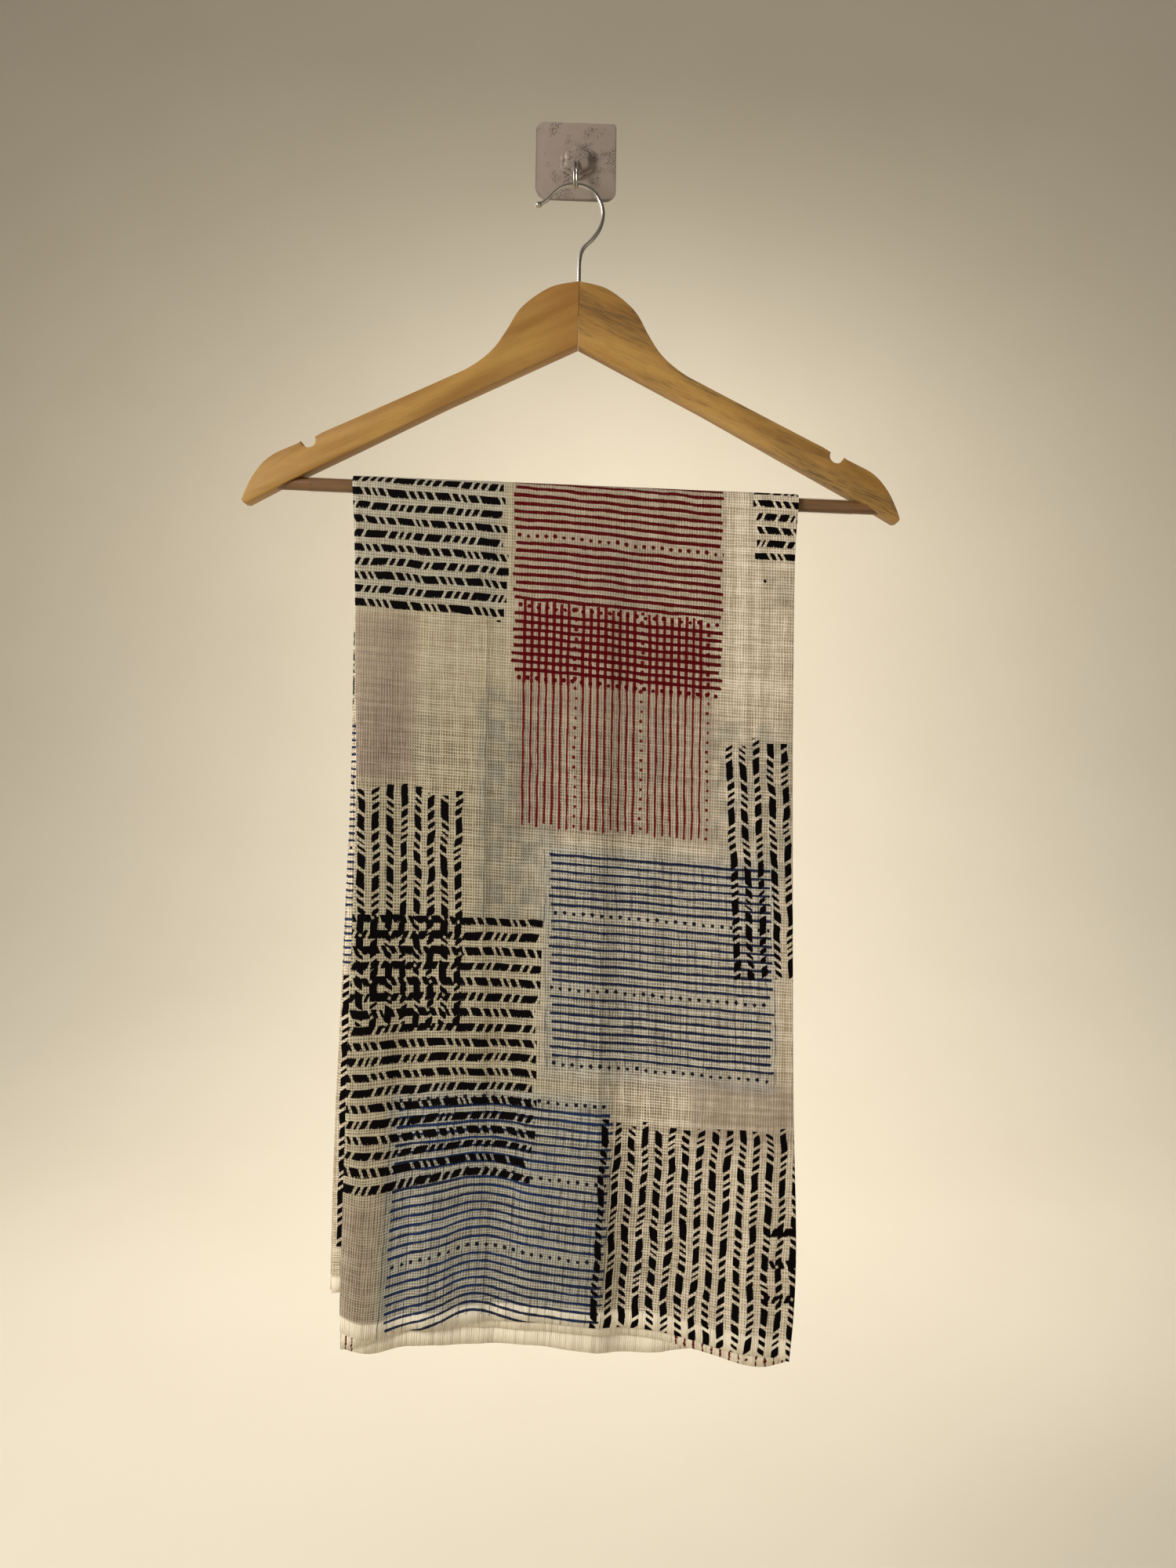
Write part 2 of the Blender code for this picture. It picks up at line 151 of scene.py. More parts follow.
class Finish:
    """One material, or the world around, with a method that makes any node."""

    def __init__(self, name, world=None, **plain):
        self.material = world or bpy.data.materials.new(name)
        self.material.use_nodes = True
        self.tree = self.material.node_tree
        self.shader = self.tree.nodes["Background" if world else "Principled BSDF"]
        for socket, value in plain.items():
            self.feed(self.shader.inputs[socket.replace("_", " ")], value)

    def feed(self, socket, value):
        if isinstance(value, Value):
            self.tree.links.new(value.socket, socket)
        else:
            socket.default_value = value

    def set(self, socket, value):
        self.feed(self.shader.inputs[socket], value)

    def node(self, kind, settings, inputs, output=0):
        made = self.tree.nodes.new(kind)
        for key, value in settings.items():
            if key == "stops":
                for stop, (position, colour) in zip(made.color_ramp.elements, value):
                    stop.position, stop.color = position, colour
            else:
                setattr(made, key, value)
        for key, value in inputs.items():
            self.feed(made.inputs[key], value)
        return Value(self, made.outputs[output])

    def place(self, scale=(1.0, 1.0, 1.0), turn=(0.0, 0.0, 0.0)):
        """Object coordinates, turned and then scaled."""
        place = self.node("ShaderNodeTexCoord", {}, {}, 3)
        turned = self.node(
            "ShaderNodeVectorRotate", {"rotation_type": "EULER_XYZ"}, {0: place, "Rotation": turn}
        )
        return self.node("ShaderNodeVectorMath", {"operation": "MULTIPLY"}, {0: turned, 1: scale})

    def parts(self, vector):
        return [self.node("ShaderNodeSeparateXYZ", {}, {0: vector}, index) for index in range(3)]

    def vector(self, x, y, z=0.0):
        return self.node("ShaderNodeCombineXYZ", {}, {0: x, 1: y, 2: z})

    def noise(self, vector, scale=1.0, detail=2.0, roughness=0.5):
        inputs = {"Vector": vector, "Scale": scale, "Detail": detail, "Roughness": roughness}
        return self.node("ShaderNodeTexNoise", {"noise_dimensions": "3D"}, inputs)

    def grain(self, scale, turn=(0.0, 0.0, 0.0), detail=2.0, roughness=0.5):
        """Noise with its own number of grains to the metre along each turned axis."""
        return self.noise(self.place(scale, turn), 1.0, detail, roughness)

    def random(self, number):
        """An even random number between 0 and 1 for each whole number."""
        return self.node("ShaderNodeTexWhiteNoise", {"noise_dimensions": "1D"}, {"W": number})

    def mix(self, share, first, second):
        inputs = {0: share, 6: first, 7: second}
        return self.node("ShaderNodeMix", {"data_type": "RGBA"}, inputs, 2)

    def layered(self, colour, *coats):
        """A colour with coats laid over it in turn, each a share and a colour."""
        for share, coat in coats:
            colour = self.mix(share, colour, coat)
        return colour

    def bump(self, height, distance):
        inputs = {"Height": height, "Distance": distance, "Strength": 1.0}
        return self.node("ShaderNodeBump", {}, inputs)


# %% [markdown]
# ## Small workshop helpers
#
# The same few moves make every piece: turn a mesh into an object that rides with the solids,
# push a face out and round its rims, read a short table on a smooth line, and sweep a ring
# along a wire's middle line.

# %% Small workshop helpers
def smooth_mesh(name, bm, finish):
    mesh = bpy.data.meshes.new(name)
    bm.to_mesh(mesh)
    bm.free()
    mesh.shade_smooth()
    mesh.materials.append(finish.material)
    return mesh


def add_piece(name, bm, finish, slot, *nodes, sharp=35.0):
    """Turn a bmesh into a piece that stands for the named solids."""
    bm.normal_update()
    bmesh.ops.recalc_face_normals(bm, faces=bm.faces)
    mesh = smooth_mesh(name, bm, finish)
    mesh.set_sharp_from_angle(angle=math.radians(sharp))
    piece = put_in_scene(name, mesh)
    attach(piece, "root")
    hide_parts(*nodes)
    print(name, len(mesh.polygons), "faces")
    return piece


def pushed_out(bm, face, way):
    """Push a face out to a solid, and give back the corners that moved."""
    grown = bmesh.ops.extrude_face_region(bm, geom=[face])["geom"]
    moved = [part for part in grown if isinstance(part, bmesh.types.BMVert)]
    bmesh.ops.translate(bm, verts=moved, vec=way)
    return moved


def round_over(bm, rims, reach, segments, clamp=False):
    """Bevel the rims with a round profile."""
    settings = {"offset_type": "OFFSET", "affect": "EDGES", "profile": 0.5, "material": -1}
    bmesh.ops.bevel(
        bm, geom=rims, offset=reach, segments=segments, clamp_overlap=clamp, **settings
    )


def limited(value):
    return min(max(value, 0.0), 1.0)


def eased(value):
    """From 0 to 1 with a soft start and a soft end."""
    share = limited(value)
    return share * share * (3.0 - 2.0 * share)


def arc(centre, radius, first, last, steps):
    """Points round a centre, from one angle to another in degrees."""
    points = []
    for step in range(steps + 1):
        angle = math.radians(first + step * (last - first) / steps)
        points.append(centre + radius * Vector((math.cos(angle), math.sin(angle))))
    return points


def between(table, place, column):
    """Read one column of a table at a place, on a smooth line through its rows."""
    places = [row[0] for row in table]
    values = [row[column] for row in table]
    last = len(table) - 1
    if place <= places[0]:
        return values[0]
    if place >= places[last]:
        return values[last]
    low = max(index for index in range(last) if places[index] <= place)
    gap = places[low + 1] - places[low]

    def slope(index):
        before, after = max(index - 1, 0), min(index + 1, last)
        return (values[after] - values[before]) / (places[after] - places[before]) * gap

    t = (place - places[low]) / gap
    start, end = values[low], values[low + 1]
    return (
        start * (1.0 + 2.0 * t) * (1.0 - t) ** 2
        + end * t * t * (3.0 - 2.0 * t)
        + slope(low) * t * (1.0 - t) ** 2
        - slope(low + 1) * t * t * (1.0 - t)
    )


def from_grid(table, places, across, below):
    """Read a table with a row for each depth and a column for each place across."""
    line = [(place, between(table, below, 1 + index)) for index, place in enumerate(places)]
    return between(line, across, 1)


def smooth_line(points, steps):
    """Points on a smooth line through the given ones, with steps between each two."""
    line = []
    last = len(points) - 1
    for index in range(last):
        before, start = Vector(points[max(index - 1, 0)]), Vector(points[index])
        end, after = Vector(points[index + 1]), Vector(points[min(index + 2, last)])
        for step in range(steps):
            t = step / steps
            line.append(
                start
                + 0.5 * t * (end - before)
                + 0.5 * t * t * (2 * before - 5 * start + 4 * end - after)
                + 0.5 * t**3 * (3 * start - before - 3 * end + after)
            )
    line.append(Vector(points[last]))
    return line


def sweep(path, radii, sides=16):
    """A round wire along a path, with its own radius at each point, closed at both ends."""
    bm = bmesh.new()
    heading = (path[1] - path[0]).normalized()
    bmesh.ops.create_circle(bm, cap_ends=True, segments=sides, radius=radii[0])
    bm.transform(Vector((0, 0, 1)).rotation_difference(heading).to_matrix().to_4x4())
    bmesh.ops.translate(bm, verts=bm.verts, vec=path[0])
    rim = list(bm.edges)
    for index in range(1, len(path)):
        grown = bmesh.ops.extrude_edge_only(bm, edges=rim)["geom"]
        ring = [part for part in grown if isinstance(part, bmesh.types.BMVert)]
        rim = [e for e in grown if isinstance(e, bmesh.types.BMEdge) and set(e.verts) <= set(ring)]
        onward = path[min(index + 1, len(path) - 1)] - path[index - 1]
        turn = heading.rotation_difference(onward.normalized()).to_matrix()
        heading = onward.normalized()
        bmesh.ops.rotate(bm, cent=path[index - 1], matrix=turn, verts=ring)
        growth = radii[index] / radii[index - 1]
        around = Matrix.Translation(-path[index - 1])
        bmesh.ops.scale(bm, vec=(growth,) * 3, space=around, verts=ring)
        bmesh.ops.translate(bm, vec=path[index] - path[index - 1], verts=ring)
    bmesh.ops.contextual_create(bm, geom=rim)
    return bm


# %% [markdown]
# ## The hanger's arms
#
# Each arm is one flat board, sawn to its outline, with the edges run over by a rounding cutter
# and a round notch near the end for a strap. An outline drawn as one face, pushed to its
# thickness and bevelled along both rims is the same work in bmesh. The rim on the seam stays
# sharp, because the two boards are glued there.

# %% The hanger's own frame
HANGER_CORNER = Vector((3.1, -17.0, -136.0)) * MM
HANGER_TILT = math.radians(0.45)
TO_HANGER = Matrix.Translation(HANGER_CORNER) @ Matrix.Rotation(HANGER_TILT, 4, "Y")
WOOD_THICK = 12.0 * MM
TOP_EDGE = 1.5 * MM
LOWER_EDGE = 0.6 * MM
SEAM_GAP = 0.15

# Distance out from the seam and height above the inner corner, in mm
ARM_TOP = (
    (0.0, 43.3), (17.0, 39.8), (30.0, 32.3), (40.5, 22.6), (48.5, 9.0),
    (58.0, -4.4), (72.0, -15.6), (90.0, -24.6), (149.0, -52.2), (187.0, -69.8),
    (205.5, -78.8), (216.0, -90.0), (222.0, -101.6), (224.6, -108.6),
)
ARM_BELOW = ((223.6, -110.3), (221.0, -110.6), (201.3, -99.8), (139.6, -68.6), (88.0, -42.3))
ARM_SPAN = 223.5
NOTCH_CENTRE = Vector((180.5, -67.6))
NOTCH_RADIUS = 5.0
NOTCH_ANGLES = (152.0, 350.0)

# Each arm: side, reach from the seam to the tip in mm, and how much steeper it slopes
ARMS = (("arm_left", -1.0, 223.5, 0.0), ("arm_right", 1.0, 218.5, 0.018))
print("hanger", sum(reach for _, _, reach, _ in ARMS), "mm wide")


# %% Drawing an arm
def notched(line):
    """Replace the stretch of the line inside the notch by the lower arc of its circle."""
    outside = [point for point in line if (point - NOTCH_CENTRE).length > NOTCH_RADIUS + 0.4]
    split = sum(point.x < NOTCH_CENTRE.x for point in outside)
    notch = arc(NOTCH_CENTRE, NOTCH_RADIUS, *NOTCH_ANGLES, 16)
    return [*outside[:split], *notch, *outside[split:]]


def arm_outline(side, reach, slope):
    line = notched(smooth_line(ARM_TOP, 6))
    line += smooth_line(ARM_BELOW[:2], 2) + [Vector(point) for point in ARM_BELOW[2:]]
    line.append(Vector((0.0, 0.0)))
    outline = []
    for point in line:
        out = max(point.x * reach / ARM_SPAN, SEAM_GAP)
        outline.append(Vector((side * out, 0.0, point.y - slope * out)) * MM)
    return outline


def make_arm(name, side, reach, slope, finish):
    bm = bmesh.new()
    front = Vector((0.0, WOOD_THICK / 2, 0.0))
    face = bm.faces.new([bm.verts.new(point - front) for point in arm_outline(side, reach, slope)])
    pushed_out(bm, face, 2.0 * front)
    bm.normal_update()
    bmesh.ops.recalc_face_normals(bm, faces=bm.faces)
    seam = side * SEAM_GAP * MM
    top_rims, lower_rims = [], []
    for rim in bm.edges:
        on_seam = all(abs(vert.co.x - seam) < 1e-6 for vert in rim.verts)
        if abs(rim.verts[0].co.y - rim.verts[1].co.y) > 1e-6 or on_seam:
            continue
        looks_down = min(side_face.normal.z for side_face in rim.link_faces) < -0.5
        (lower_rims if looks_down else top_rims).append(rim)
    for rims, edge, segments in ((top_rims, TOP_EDGE, 4), (lower_rims, LOWER_EDGE, 2)):
        round_over(bm, [rim for rim in rims if rim.is_valid], edge, segments, clamp=True)
    bm.transform(TO_HANGER)
    return add_piece(name + "_board", bm, finish, "hanger_wood", name)


# %% [markdown]
# ## Wood
#
# The boards are a pale close-grained wood under a thin lacquer: honey-coloured, with long soft
# figure along each arm. The right board is streaked grey-brown, as cheap sapwood often is, and
# has a small pale chip and a short crack at its lower edge. Noise stretched along the arm gives
# the figure, a finer one the fibres, and both are turned to the slope of their arm.

# %% Wood
HONEY = from_screen(172, 132, 68)
HONEY_DEEP = from_screen(140, 99, 44)
HONEY_PALE = from_screen(194, 157, 94)
GREY_STREAK = from_screen(90, 70, 46)
CHIP = from_screen(214, 186, 132)
CRACK = from_screen(62, 38, 20)
PORE = from_screen(118, 80, 38)
SEAM_SHADE = from_screen(140, 92, 38)


def spot(finish, place, centre, width, height, lean):
    """A soft oval mark on a board's face, by its middle and half sizes in mm."""
    turned = finish.node(
        "ShaderNodeVectorRotate",
        {"rotation_type": "Y_AXIS"},
        {0: place, "Center": Vector(centre) * MM, "Angle": lean},
    )
    x, _, z = finish.parts(turned)
    across = (x - centre[0] * MM) / (width * MM)
    up = (z - centre[2] * MM) / (height * MM)
    return across * across + up * up


def hanger_wood(name, lean, streaked):
    wood = Finish(name, Specular_IOR_Level=0.3)
    turn = (0.0, lean, 0.0)
    long_figure = wood.grain((9.0, 60.0, 75.0), turn, 3.0)
    fibre = wood.grain((60.0, 700.0, 900.0), turn, 3.0, 0.6)
    rings = wood.grain((3.0, 30.0, 34.0), turn)
    pores = wood.grain((110.0, 900.0, 2600.0), turn)
    colour = wood.layered(
        HONEY_DEEP,
        (long_figure.step(0.3, 0.72), HONEY),
        (rings.step(0.45, 0.8) * 0.6, HONEY_PALE),
        (fibre.step(0.5, 0.75) * 0.3, HONEY_DEEP),
        (pores.step(0.58, 0.7) * 0.3, PORE),
    )
    place = wood.place()
    if streaked:
        smoke = wood.grain((16.0, 60.0, 90.0), turn, 4.0, 0.6).step(0.44, 0.66)
        thin = wood.grain((55.0, 400.0, 1300.0), turn, 4.0, 0.7).step(0.46, 0.62)
        rough_edge = wood.noise(place, 900.0, 2.0) * 0.9
        chip = spot(wood, place, (22.5, -23.0, -152.5), 4.2, 1.5, lean)
        crack = spot(wood, place, (149.5, -23.0, -219.5), 6.5, 0.55, lean + 0.08)
        colour = wood.layered(
            colour,
            ((smoke * 0.24 + thin * smoke * 0.75).least(0.85), GREY_STREAK),
            ((chip + rough_edge).step(1.5, 0.9), CHIP),
            ((crack + rough_edge).step(1.6, 1.0), CRACK),
        )
    else:
        x, _, _ = wood.parts(place)
        colour = wood.mix(x.step(-0.035, 0.002) * 0.45, colour, SEAM_SHADE)
    wood.set("Base Color", colour)
    wood.set("Roughness", 0.46 + fibre * 0.16)
    wood.set("Normal", wood.bump(fibre + long_figure * 0.6, 0.00012))
    return wood


ARM_LEAN = math.radians(25.0)
honey_wood = hanger_wood("honey wood", ARM_LEAN, streaked=False)
streaked_wood = hanger_wood("streaked wood", -ARM_LEAN, streaked=True)
for (name, side, reach, slope), wood in zip(ARMS, (honey_wood, streaked_wood)):
    make_arm(name, side, reach, slope, wood)


# %% [markdown]
# ## The bar and its sleeve
#
# The bar is a turned dowel of brownish wood. A clear soft tube is pushed over its middle part
# so that cloth doesn't slide off. A spun profile gives both: the dowel with barely eased ends,
# and the tube with a real wall, so that its cut ends catch the light.

# %% The bar and its sleeve
BAR_RADIUS = 4.4
BAR_DROP = -100.0
BAR_LEAN = -0.021
BAR_ENDS = (-206.0, 208.0)
SLEEVE_ENDS = (-180.0, 188.5)
SLEEVE_INSIDE, SLEEVE_OUTSIDE = 4.7, 5.1


def along_bar(out):
    return TO_HANGER @ (Vector((out, 0.0, BAR_DROP + BAR_LEAN * out)) * MM)


def spun(profile, start, end, sides):
    """Spin a closed profile of (distance along, radius) in mm round the line between two points."""
    bm = bmesh.new()
    verts = [bm.verts.new(Vector((radius, 0.0, along)) * MM) for along, radius in profile]
    edges = [bm.edges.new((verts[i - 1], verts[i])) for i in range(len(verts))]
    bmesh.ops.spin(
        bm,
        geom=verts + edges,
        cent=(0, 0, 0),
        axis=(0, 0, 1),
        dvec=(0, 0, 0),
        angle=FULL_TURN,
        steps=sides,
        use_merge=True,
    )
    bmesh.ops.remove_doubles(bm, verts=bm.verts, dist=1e-6)
    turn = (end - start).to_track_quat("Z", "Y").to_matrix().to_4x4()
    bm.transform(Matrix.Translation(start) @ turn)
    return bm


def dowel_wood():
    wood = Finish("dowel wood", Coat_Weight=0.1, Coat_Roughness=0.3)
    fibre = wood.grain((16.0, 500.0, 420.0), detail=4.0, roughness=0.6)
    long_figure = wood.grain((5.0, 130.0, 160.0))
    colour = wood.layered(
        from_screen(80, 50, 24),
        (fibre.step(0.3, 0.7), from_screen(120, 82, 42)),
        (long_figure.step(0.5, 0.75) * 0.4, from_screen(146, 108, 62)),
    )
    wood.set("Base Color", colour)
    wood.set("Roughness", 0.45 + fibre * 0.15)
    wood.set("Normal", wood.bump(fibre, 0.0001))
    return wood


def clear_sleeve():
    sleeve = Finish("clear sleeve", Base_Color=from_screen(140, 112, 84), Alpha=0.12, IOR=1.46)
    haze = sleeve.grain((40.0, 160.0, 160.0), detail=3.0)
    sleeve.set("Roughness", 0.1 + haze * 0.16)
    return sleeve


bar_start, bar_end = along_bar(BAR_ENDS[0]), along_bar(BAR_ENDS[1])
bar_length = (bar_end - bar_start).length / MM
bar_profile = (
    (0.0, 0.0),
    (0.0, BAR_RADIUS - 0.5),
    (0.5, BAR_RADIUS),
    *[(bar_length * step / 8, BAR_RADIUS) for step in range(1, 8)],
    (bar_length - 0.5, BAR_RADIUS),
    (bar_length, BAR_RADIUS - 0.5),
    (bar_length, 0.0),
)
bar = spun(bar_profile, bar_start, bar_end, 48)
add_piece("bar_dowel", bar, dowel_wood(), "dowel_wood", "trouser_bar")
sleeve_start, sleeve_end = along_bar(SLEEVE_ENDS[0]), along_bar(SLEEVE_ENDS[1])
sleeve_length = (sleeve_end - sleeve_start).length / MM
sleeve_profile = (
    (0.0, SLEEVE_INSIDE),
    (0.0, SLEEVE_OUTSIDE - 0.1),
    (0.1, SLEEVE_OUTSIDE),
    (sleeve_length - 0.1, SLEEVE_OUTSIDE),
    (sleeve_length, SLEEVE_OUTSIDE - 0.1),
    (sleeve_length, SLEEVE_INSIDE),
)
sleeve = spun(sleeve_profile, sleeve_start, sleeve_end, 48)
add_piece("clear_tube", sleeve, clear_sleeve(), "clear_sleeve", "bar_sleeve")

# %% [markdown]
# ## The steel hooks
#
# The hanger's hook is one plated wire bent over a form, with its free end hammered into a
# small ball. Sweeping a ring along the bend, and letting the ring swell and close at the end,
# makes wire and ball in one skin. The wall hook is a thinner wire bent double, with a tight
# curl that the big hook rides in.

# %% The steel hooks
HOOK_RADIUS = 1.4
BALL_RADIUS = 2.2
HANGER_WIRE = (
    (-0.4, 22.0), (-0.4, 46.0), (-0.2, 60.0), (2.0, 67.4), (8.2, 74.0),
    (13.4, 82.4), (15.0, 93.0), (11.6, 102.6), (4.6, 109.2), (-4.4, 111.2),
    (-12.2, 109.6), (-18.4, 105.2), (-23.4, 99.9), (-27.2, 97.6),
)
WALL_WIRE_HALF = (
    (9.6, -3.8, -2.0), (6.4, -3.8, 0.4), (3.4, -4.1, 0.8), (1.7, -5.4, -1.9),
    (1.2, -7.4, -6.4), (0.95, -9.6, -13.4), (0.95, -11.9, -20.6), (0.95, -13.8, -25.6),
    (0.95, -17.2, -27.5), (0.95, -20.6, -25.6), (0.95, -22.0, -21.6), (0.95, -22.2, -18.0),
)
WALL_WIRE_TOP = (0.0, -22.2, -16.8)
WALL_WIRE_RADIUS = 0.7


def plated_steel(name, tarnish):
    steel = Finish(name, Metallic=1.0)
    wear = steel.noise(steel.place(), 260.0, 4.0, 0.6)
    bright, dull = from_screen(176, 170, 160), from_screen(122, 112, 98)
    steel.set("Base Color", steel.mix(wear.step(0.45, 0.75) * tarnish, bright, dull))
    steel.set("Roughness", 0.18 + wear * 0.2)
    return steel


wire_line = smooth_line([Vector((x, 0.0, z)) for x, z in HANGER_WIRE], 7)
ball_way = (wire_line[-1] - wire_line[-2]).normalized()
ball_middle = wire_line[-1] + ball_way * 1.7
wire_line = wire_line[:-1]
hook_radii = [HOOK_RADIUS] * len(wire_line)
for step in range(9):
    angle = math.radians(140.0 - step * 16.8)
    wire_line.append(ball_middle - ball_way * BALL_RADIUS * math.cos(math.pi - angle))
    hook_radii.append(max(BALL_RADIUS * math.sin(angle), 0.1))
hook_path = [TO_HANGER @ (point * MM) for point in wire_line]
hook = sweep(hook_path, [radius * MM for radius in hook_radii], 20)
add_piece("hook_wire", hook, plated_steel("plated steel", 0.5), "steel_wire", "hanger_hook")

right_half = [Vector(point) * MM for point in WALL_WIRE_HALF]
left_half = [Vector((-point.x, point.y, point.z)) for point in right_half]
wall_path = smooth_line([*left_half, Vector(WALL_WIRE_TOP) * MM, *reversed(right_half)], 6)
wall_wire = sweep(wall_path, [WALL_WIRE_RADIUS * MM] * len(wall_path), 14)
add_piece("wall_wire", wall_wire, plated_steel("thin steel", 0.8), "steel_wire", "wall_hook")

# %% [markdown]
# ## The clear wall plate
#
# The plate is soft clear plastic with a sticky back and a moulded boss like a small flower
# that grips the wire's two ends. Wall paint and dust behind it make it look lilac-grey and
# speckled. A thin dark line round its rim is painted shade, as the edge of clear plastic looks
# dark. It is drawn as its outline, pushed to its thickness and eased at the rim.

# %% The clear wall plate
PLATE_CORNERS = (
    (-28.2, 26.5, 6.0), (27.5, 25.6, 2.6),
    (27.6, -28.3, 7.5), (-28.4, -27.3, 8.5),
)
PLATE_THICK = 1.2
PLATE_HALF = (28.2 * MM, 27.5 * MM)
BOSS_CENTRE = Vector((0.7, -1.3))


def plate_outline():
    outline = []
    for (x, z, radius), start in zip(PLATE_CORNERS, (90.0, 0.0, -90.0, -180.0)):
        inward = Vector((1.0 if x < 0 else -1.0, 1.0 if z < 0 else -1.0))
        outline += arc(Vector((x, z)) + inward * radius, radius, start + 90.0, start, 8)
    return outline


def flower_outline(radius, petal):
    outline = []
    for step in range(96):
        angle = -FULL_TURN * step / 96
        reach = radius + petal * (2.0 * abs(math.cos(3.0 * (angle - math.pi / 2))) - 1.0)
        outline.append(BOSS_CENTRE + reach * Vector((math.cos(angle), math.sin(angle))))
    return outline


def slab(outline, back, front, edge, segments):
    """A flat slab between two distances from the wall, eased along its front rim, in mm."""
    bm = bmesh.new()
    corners = [bm.verts.new(Vector((x, -back, z)) * MM) for x, z in outline]
    moved = pushed_out(bm, bm.faces.new(corners), (0.0, (back - front) * MM, 0.0))
    rims = [rim for rim in bm.edges if all(vert in moved for vert in rim.verts)]
    round_over(bm, rims, edge * MM, segments)
    return bm


def clear_plastic(haze):
    plastic = Finish("clear plate plastic", IOR=1.46)
    place = plastic.place()
    cloud = plastic.noise(place, 60.0, 4.0, 0.6)
    fine = plastic.noise(place, 800.0, 3.0, 0.6)
    speck = fine.step(0.5, 0.56) * cloud.step(0.5, 0.58)
    x, _, z = plastic.parts(place)
    wide, high = PLATE_HALF
    # A painted dark line round the rim, painted shade where the clear edge looks dark; it also
    # makes the rim less clear
    rim = (x.absolute() / wide).most(z.absolute() / high).step(0.95, 0.985)
    colour = plastic.layered(
        from_screen(140, 125, 116),
        (cloud, from_screen(166, 151, 140)),
        (speck * 0.9, from_screen(84, 74, 68)),
        (rim * 0.7, from_screen(84, 74, 66)),
    )
    plastic.set("Base Color", colour)
    plastic.set("Alpha", (speck.most(rim) * 0.3 + haze).least(1.0))
    plastic.set("Roughness", 0.22 + cloud * 0.2)
    plastic.set("Normal", plastic.bump(cloud + speck * 0.3, 0.0002))
    return plastic


plate = slab(plate_outline(), 0.0, PLATE_THICK, 0.5, 3)
for outline, back, front, edge in (
    (flower_outline(11.6, 0.9), PLATE_THICK - 0.2, 3.4, 0.8),
    (flower_outline(9.2, 0.7), 3.2, 6.3, 2.4),
):
    boss = slab(outline, back, front, edge, 4)
    part = bpy.data.meshes.new("part")
    boss.to_mesh(part)
    boss.free()
    plate.from_mesh(part)
    bpy.data.meshes.remove(part)
add_piece("plate_and_boss", plate, clear_plastic(0.72), "clear_plastic", "wall_plate", sharp=40.0)

# %% [markdown]
# ## The cloth's shape
#
# The cloth is one sheet, folded back and forth in its length into four layers about 0.3 m wide
# and laid over the bar, so that its two selvedges hang as hems in front and behind. A grid is
# laid on that fold: its columns run across the layers and round the folds, its rows run up the
# front leg, over the bar and down the back leg. Short tables give the outline, the uneven hems
# and the soft creases, in mm, as the solid model has them.

# %% The cloth's sizes
BAR_SURFACE = 5.1
SHEET = 0.3
LAYERS = 4
CLOTH_WIDTH = 1150.0
FIRST_RADIUS = BAR_SURFACE + 0.3
TIGHT_STEP = 0.5
LOOSE_STEP = 1.45
OVER_BAR = math.pi * (FIRST_RADIUS + 1.5 * TIGHT_STEP)
FOLDED_WIDTH, FOLDED_MIDDLE = 302.0, 3.0
LAYER_LENGTH = 300.0
LAYER_INSET = 0.9
LOOSE_BELOW, SETTLED_BELOW = 110.0, 60.0
# Where the front hems begin to flutter and over how far, and the back's drawn-up left edge
FLUTTER_BELOW, FLUTTER_GROWS = 535.0, 45.0
DRAWN_UP, DRAWN_SHARE = 15.0, 0.1
PLAIN_HEM, HEM_ZONE = 575.0, 110.0
COLUMNS_OUTER = 106
COLUMNS_INNER = 50
FOLD_STEPS = 6
LEG_ROWS = 74
BAR_ROWS = 12

# Distance below the bar, then the left and right edge
FRONT_EDGES = (
    (-12.0, -147.6, 153.6), (0.0, -147.4, 153.2), (30.0, -145.6, 151.1),
    (85.0, -143.7, 150.0), (200.0, -141.2, 150.6), (290.0, -142.2, 152.0),
    (400.0, -144.8, 153.9), (500.0, -146.6, 157.1), (545.0, -147.4, 156.0),
    (582.0, -146.8, 153.0),
)
BACK_EDGES = (
    (0.0, -147.4, 153.2), (113.0, -147.9, 151.0), (202.0, -148.6, 149.0),
    (310.0, -152.0, 148.0), (445.0, -156.5, 147.0), (582.0, -158.6, 146.5),
)
# Place across, then each layer's length below the bar in front, outer layer first
HEMS = (
    (-148.0, 568.5, 581.5, 581.5, 579.5), (-128.0, 573.5, 575.0, 583.5, 581.5),
    (-102.0, 567.0, 565.0, 578.5, 576.5), (-75.0, 563.5, 563.5, 576.5, 574.5),
    (-42.0, 558.5, 564.0, 575.0, 573.0), (-12.0, 557.2, 562.5, 574.0, 572.0),
    (33.0, 559.0, 564.5, 576.8, 574.5), (63.0, 559.8, 565.5, 575.8, 573.5),
    (84.0, 564.0, 570.0, 572.0, 570.0), (107.0, 569.3, 575.2, 570.0, 568.0),
    (128.0, 572.6, 580.0, 571.0, 569.0), (143.0, 574.2, 580.2, 571.3, 569.7),
    (155.0, 577.0, 577.0, 571.0, 571.0),
)
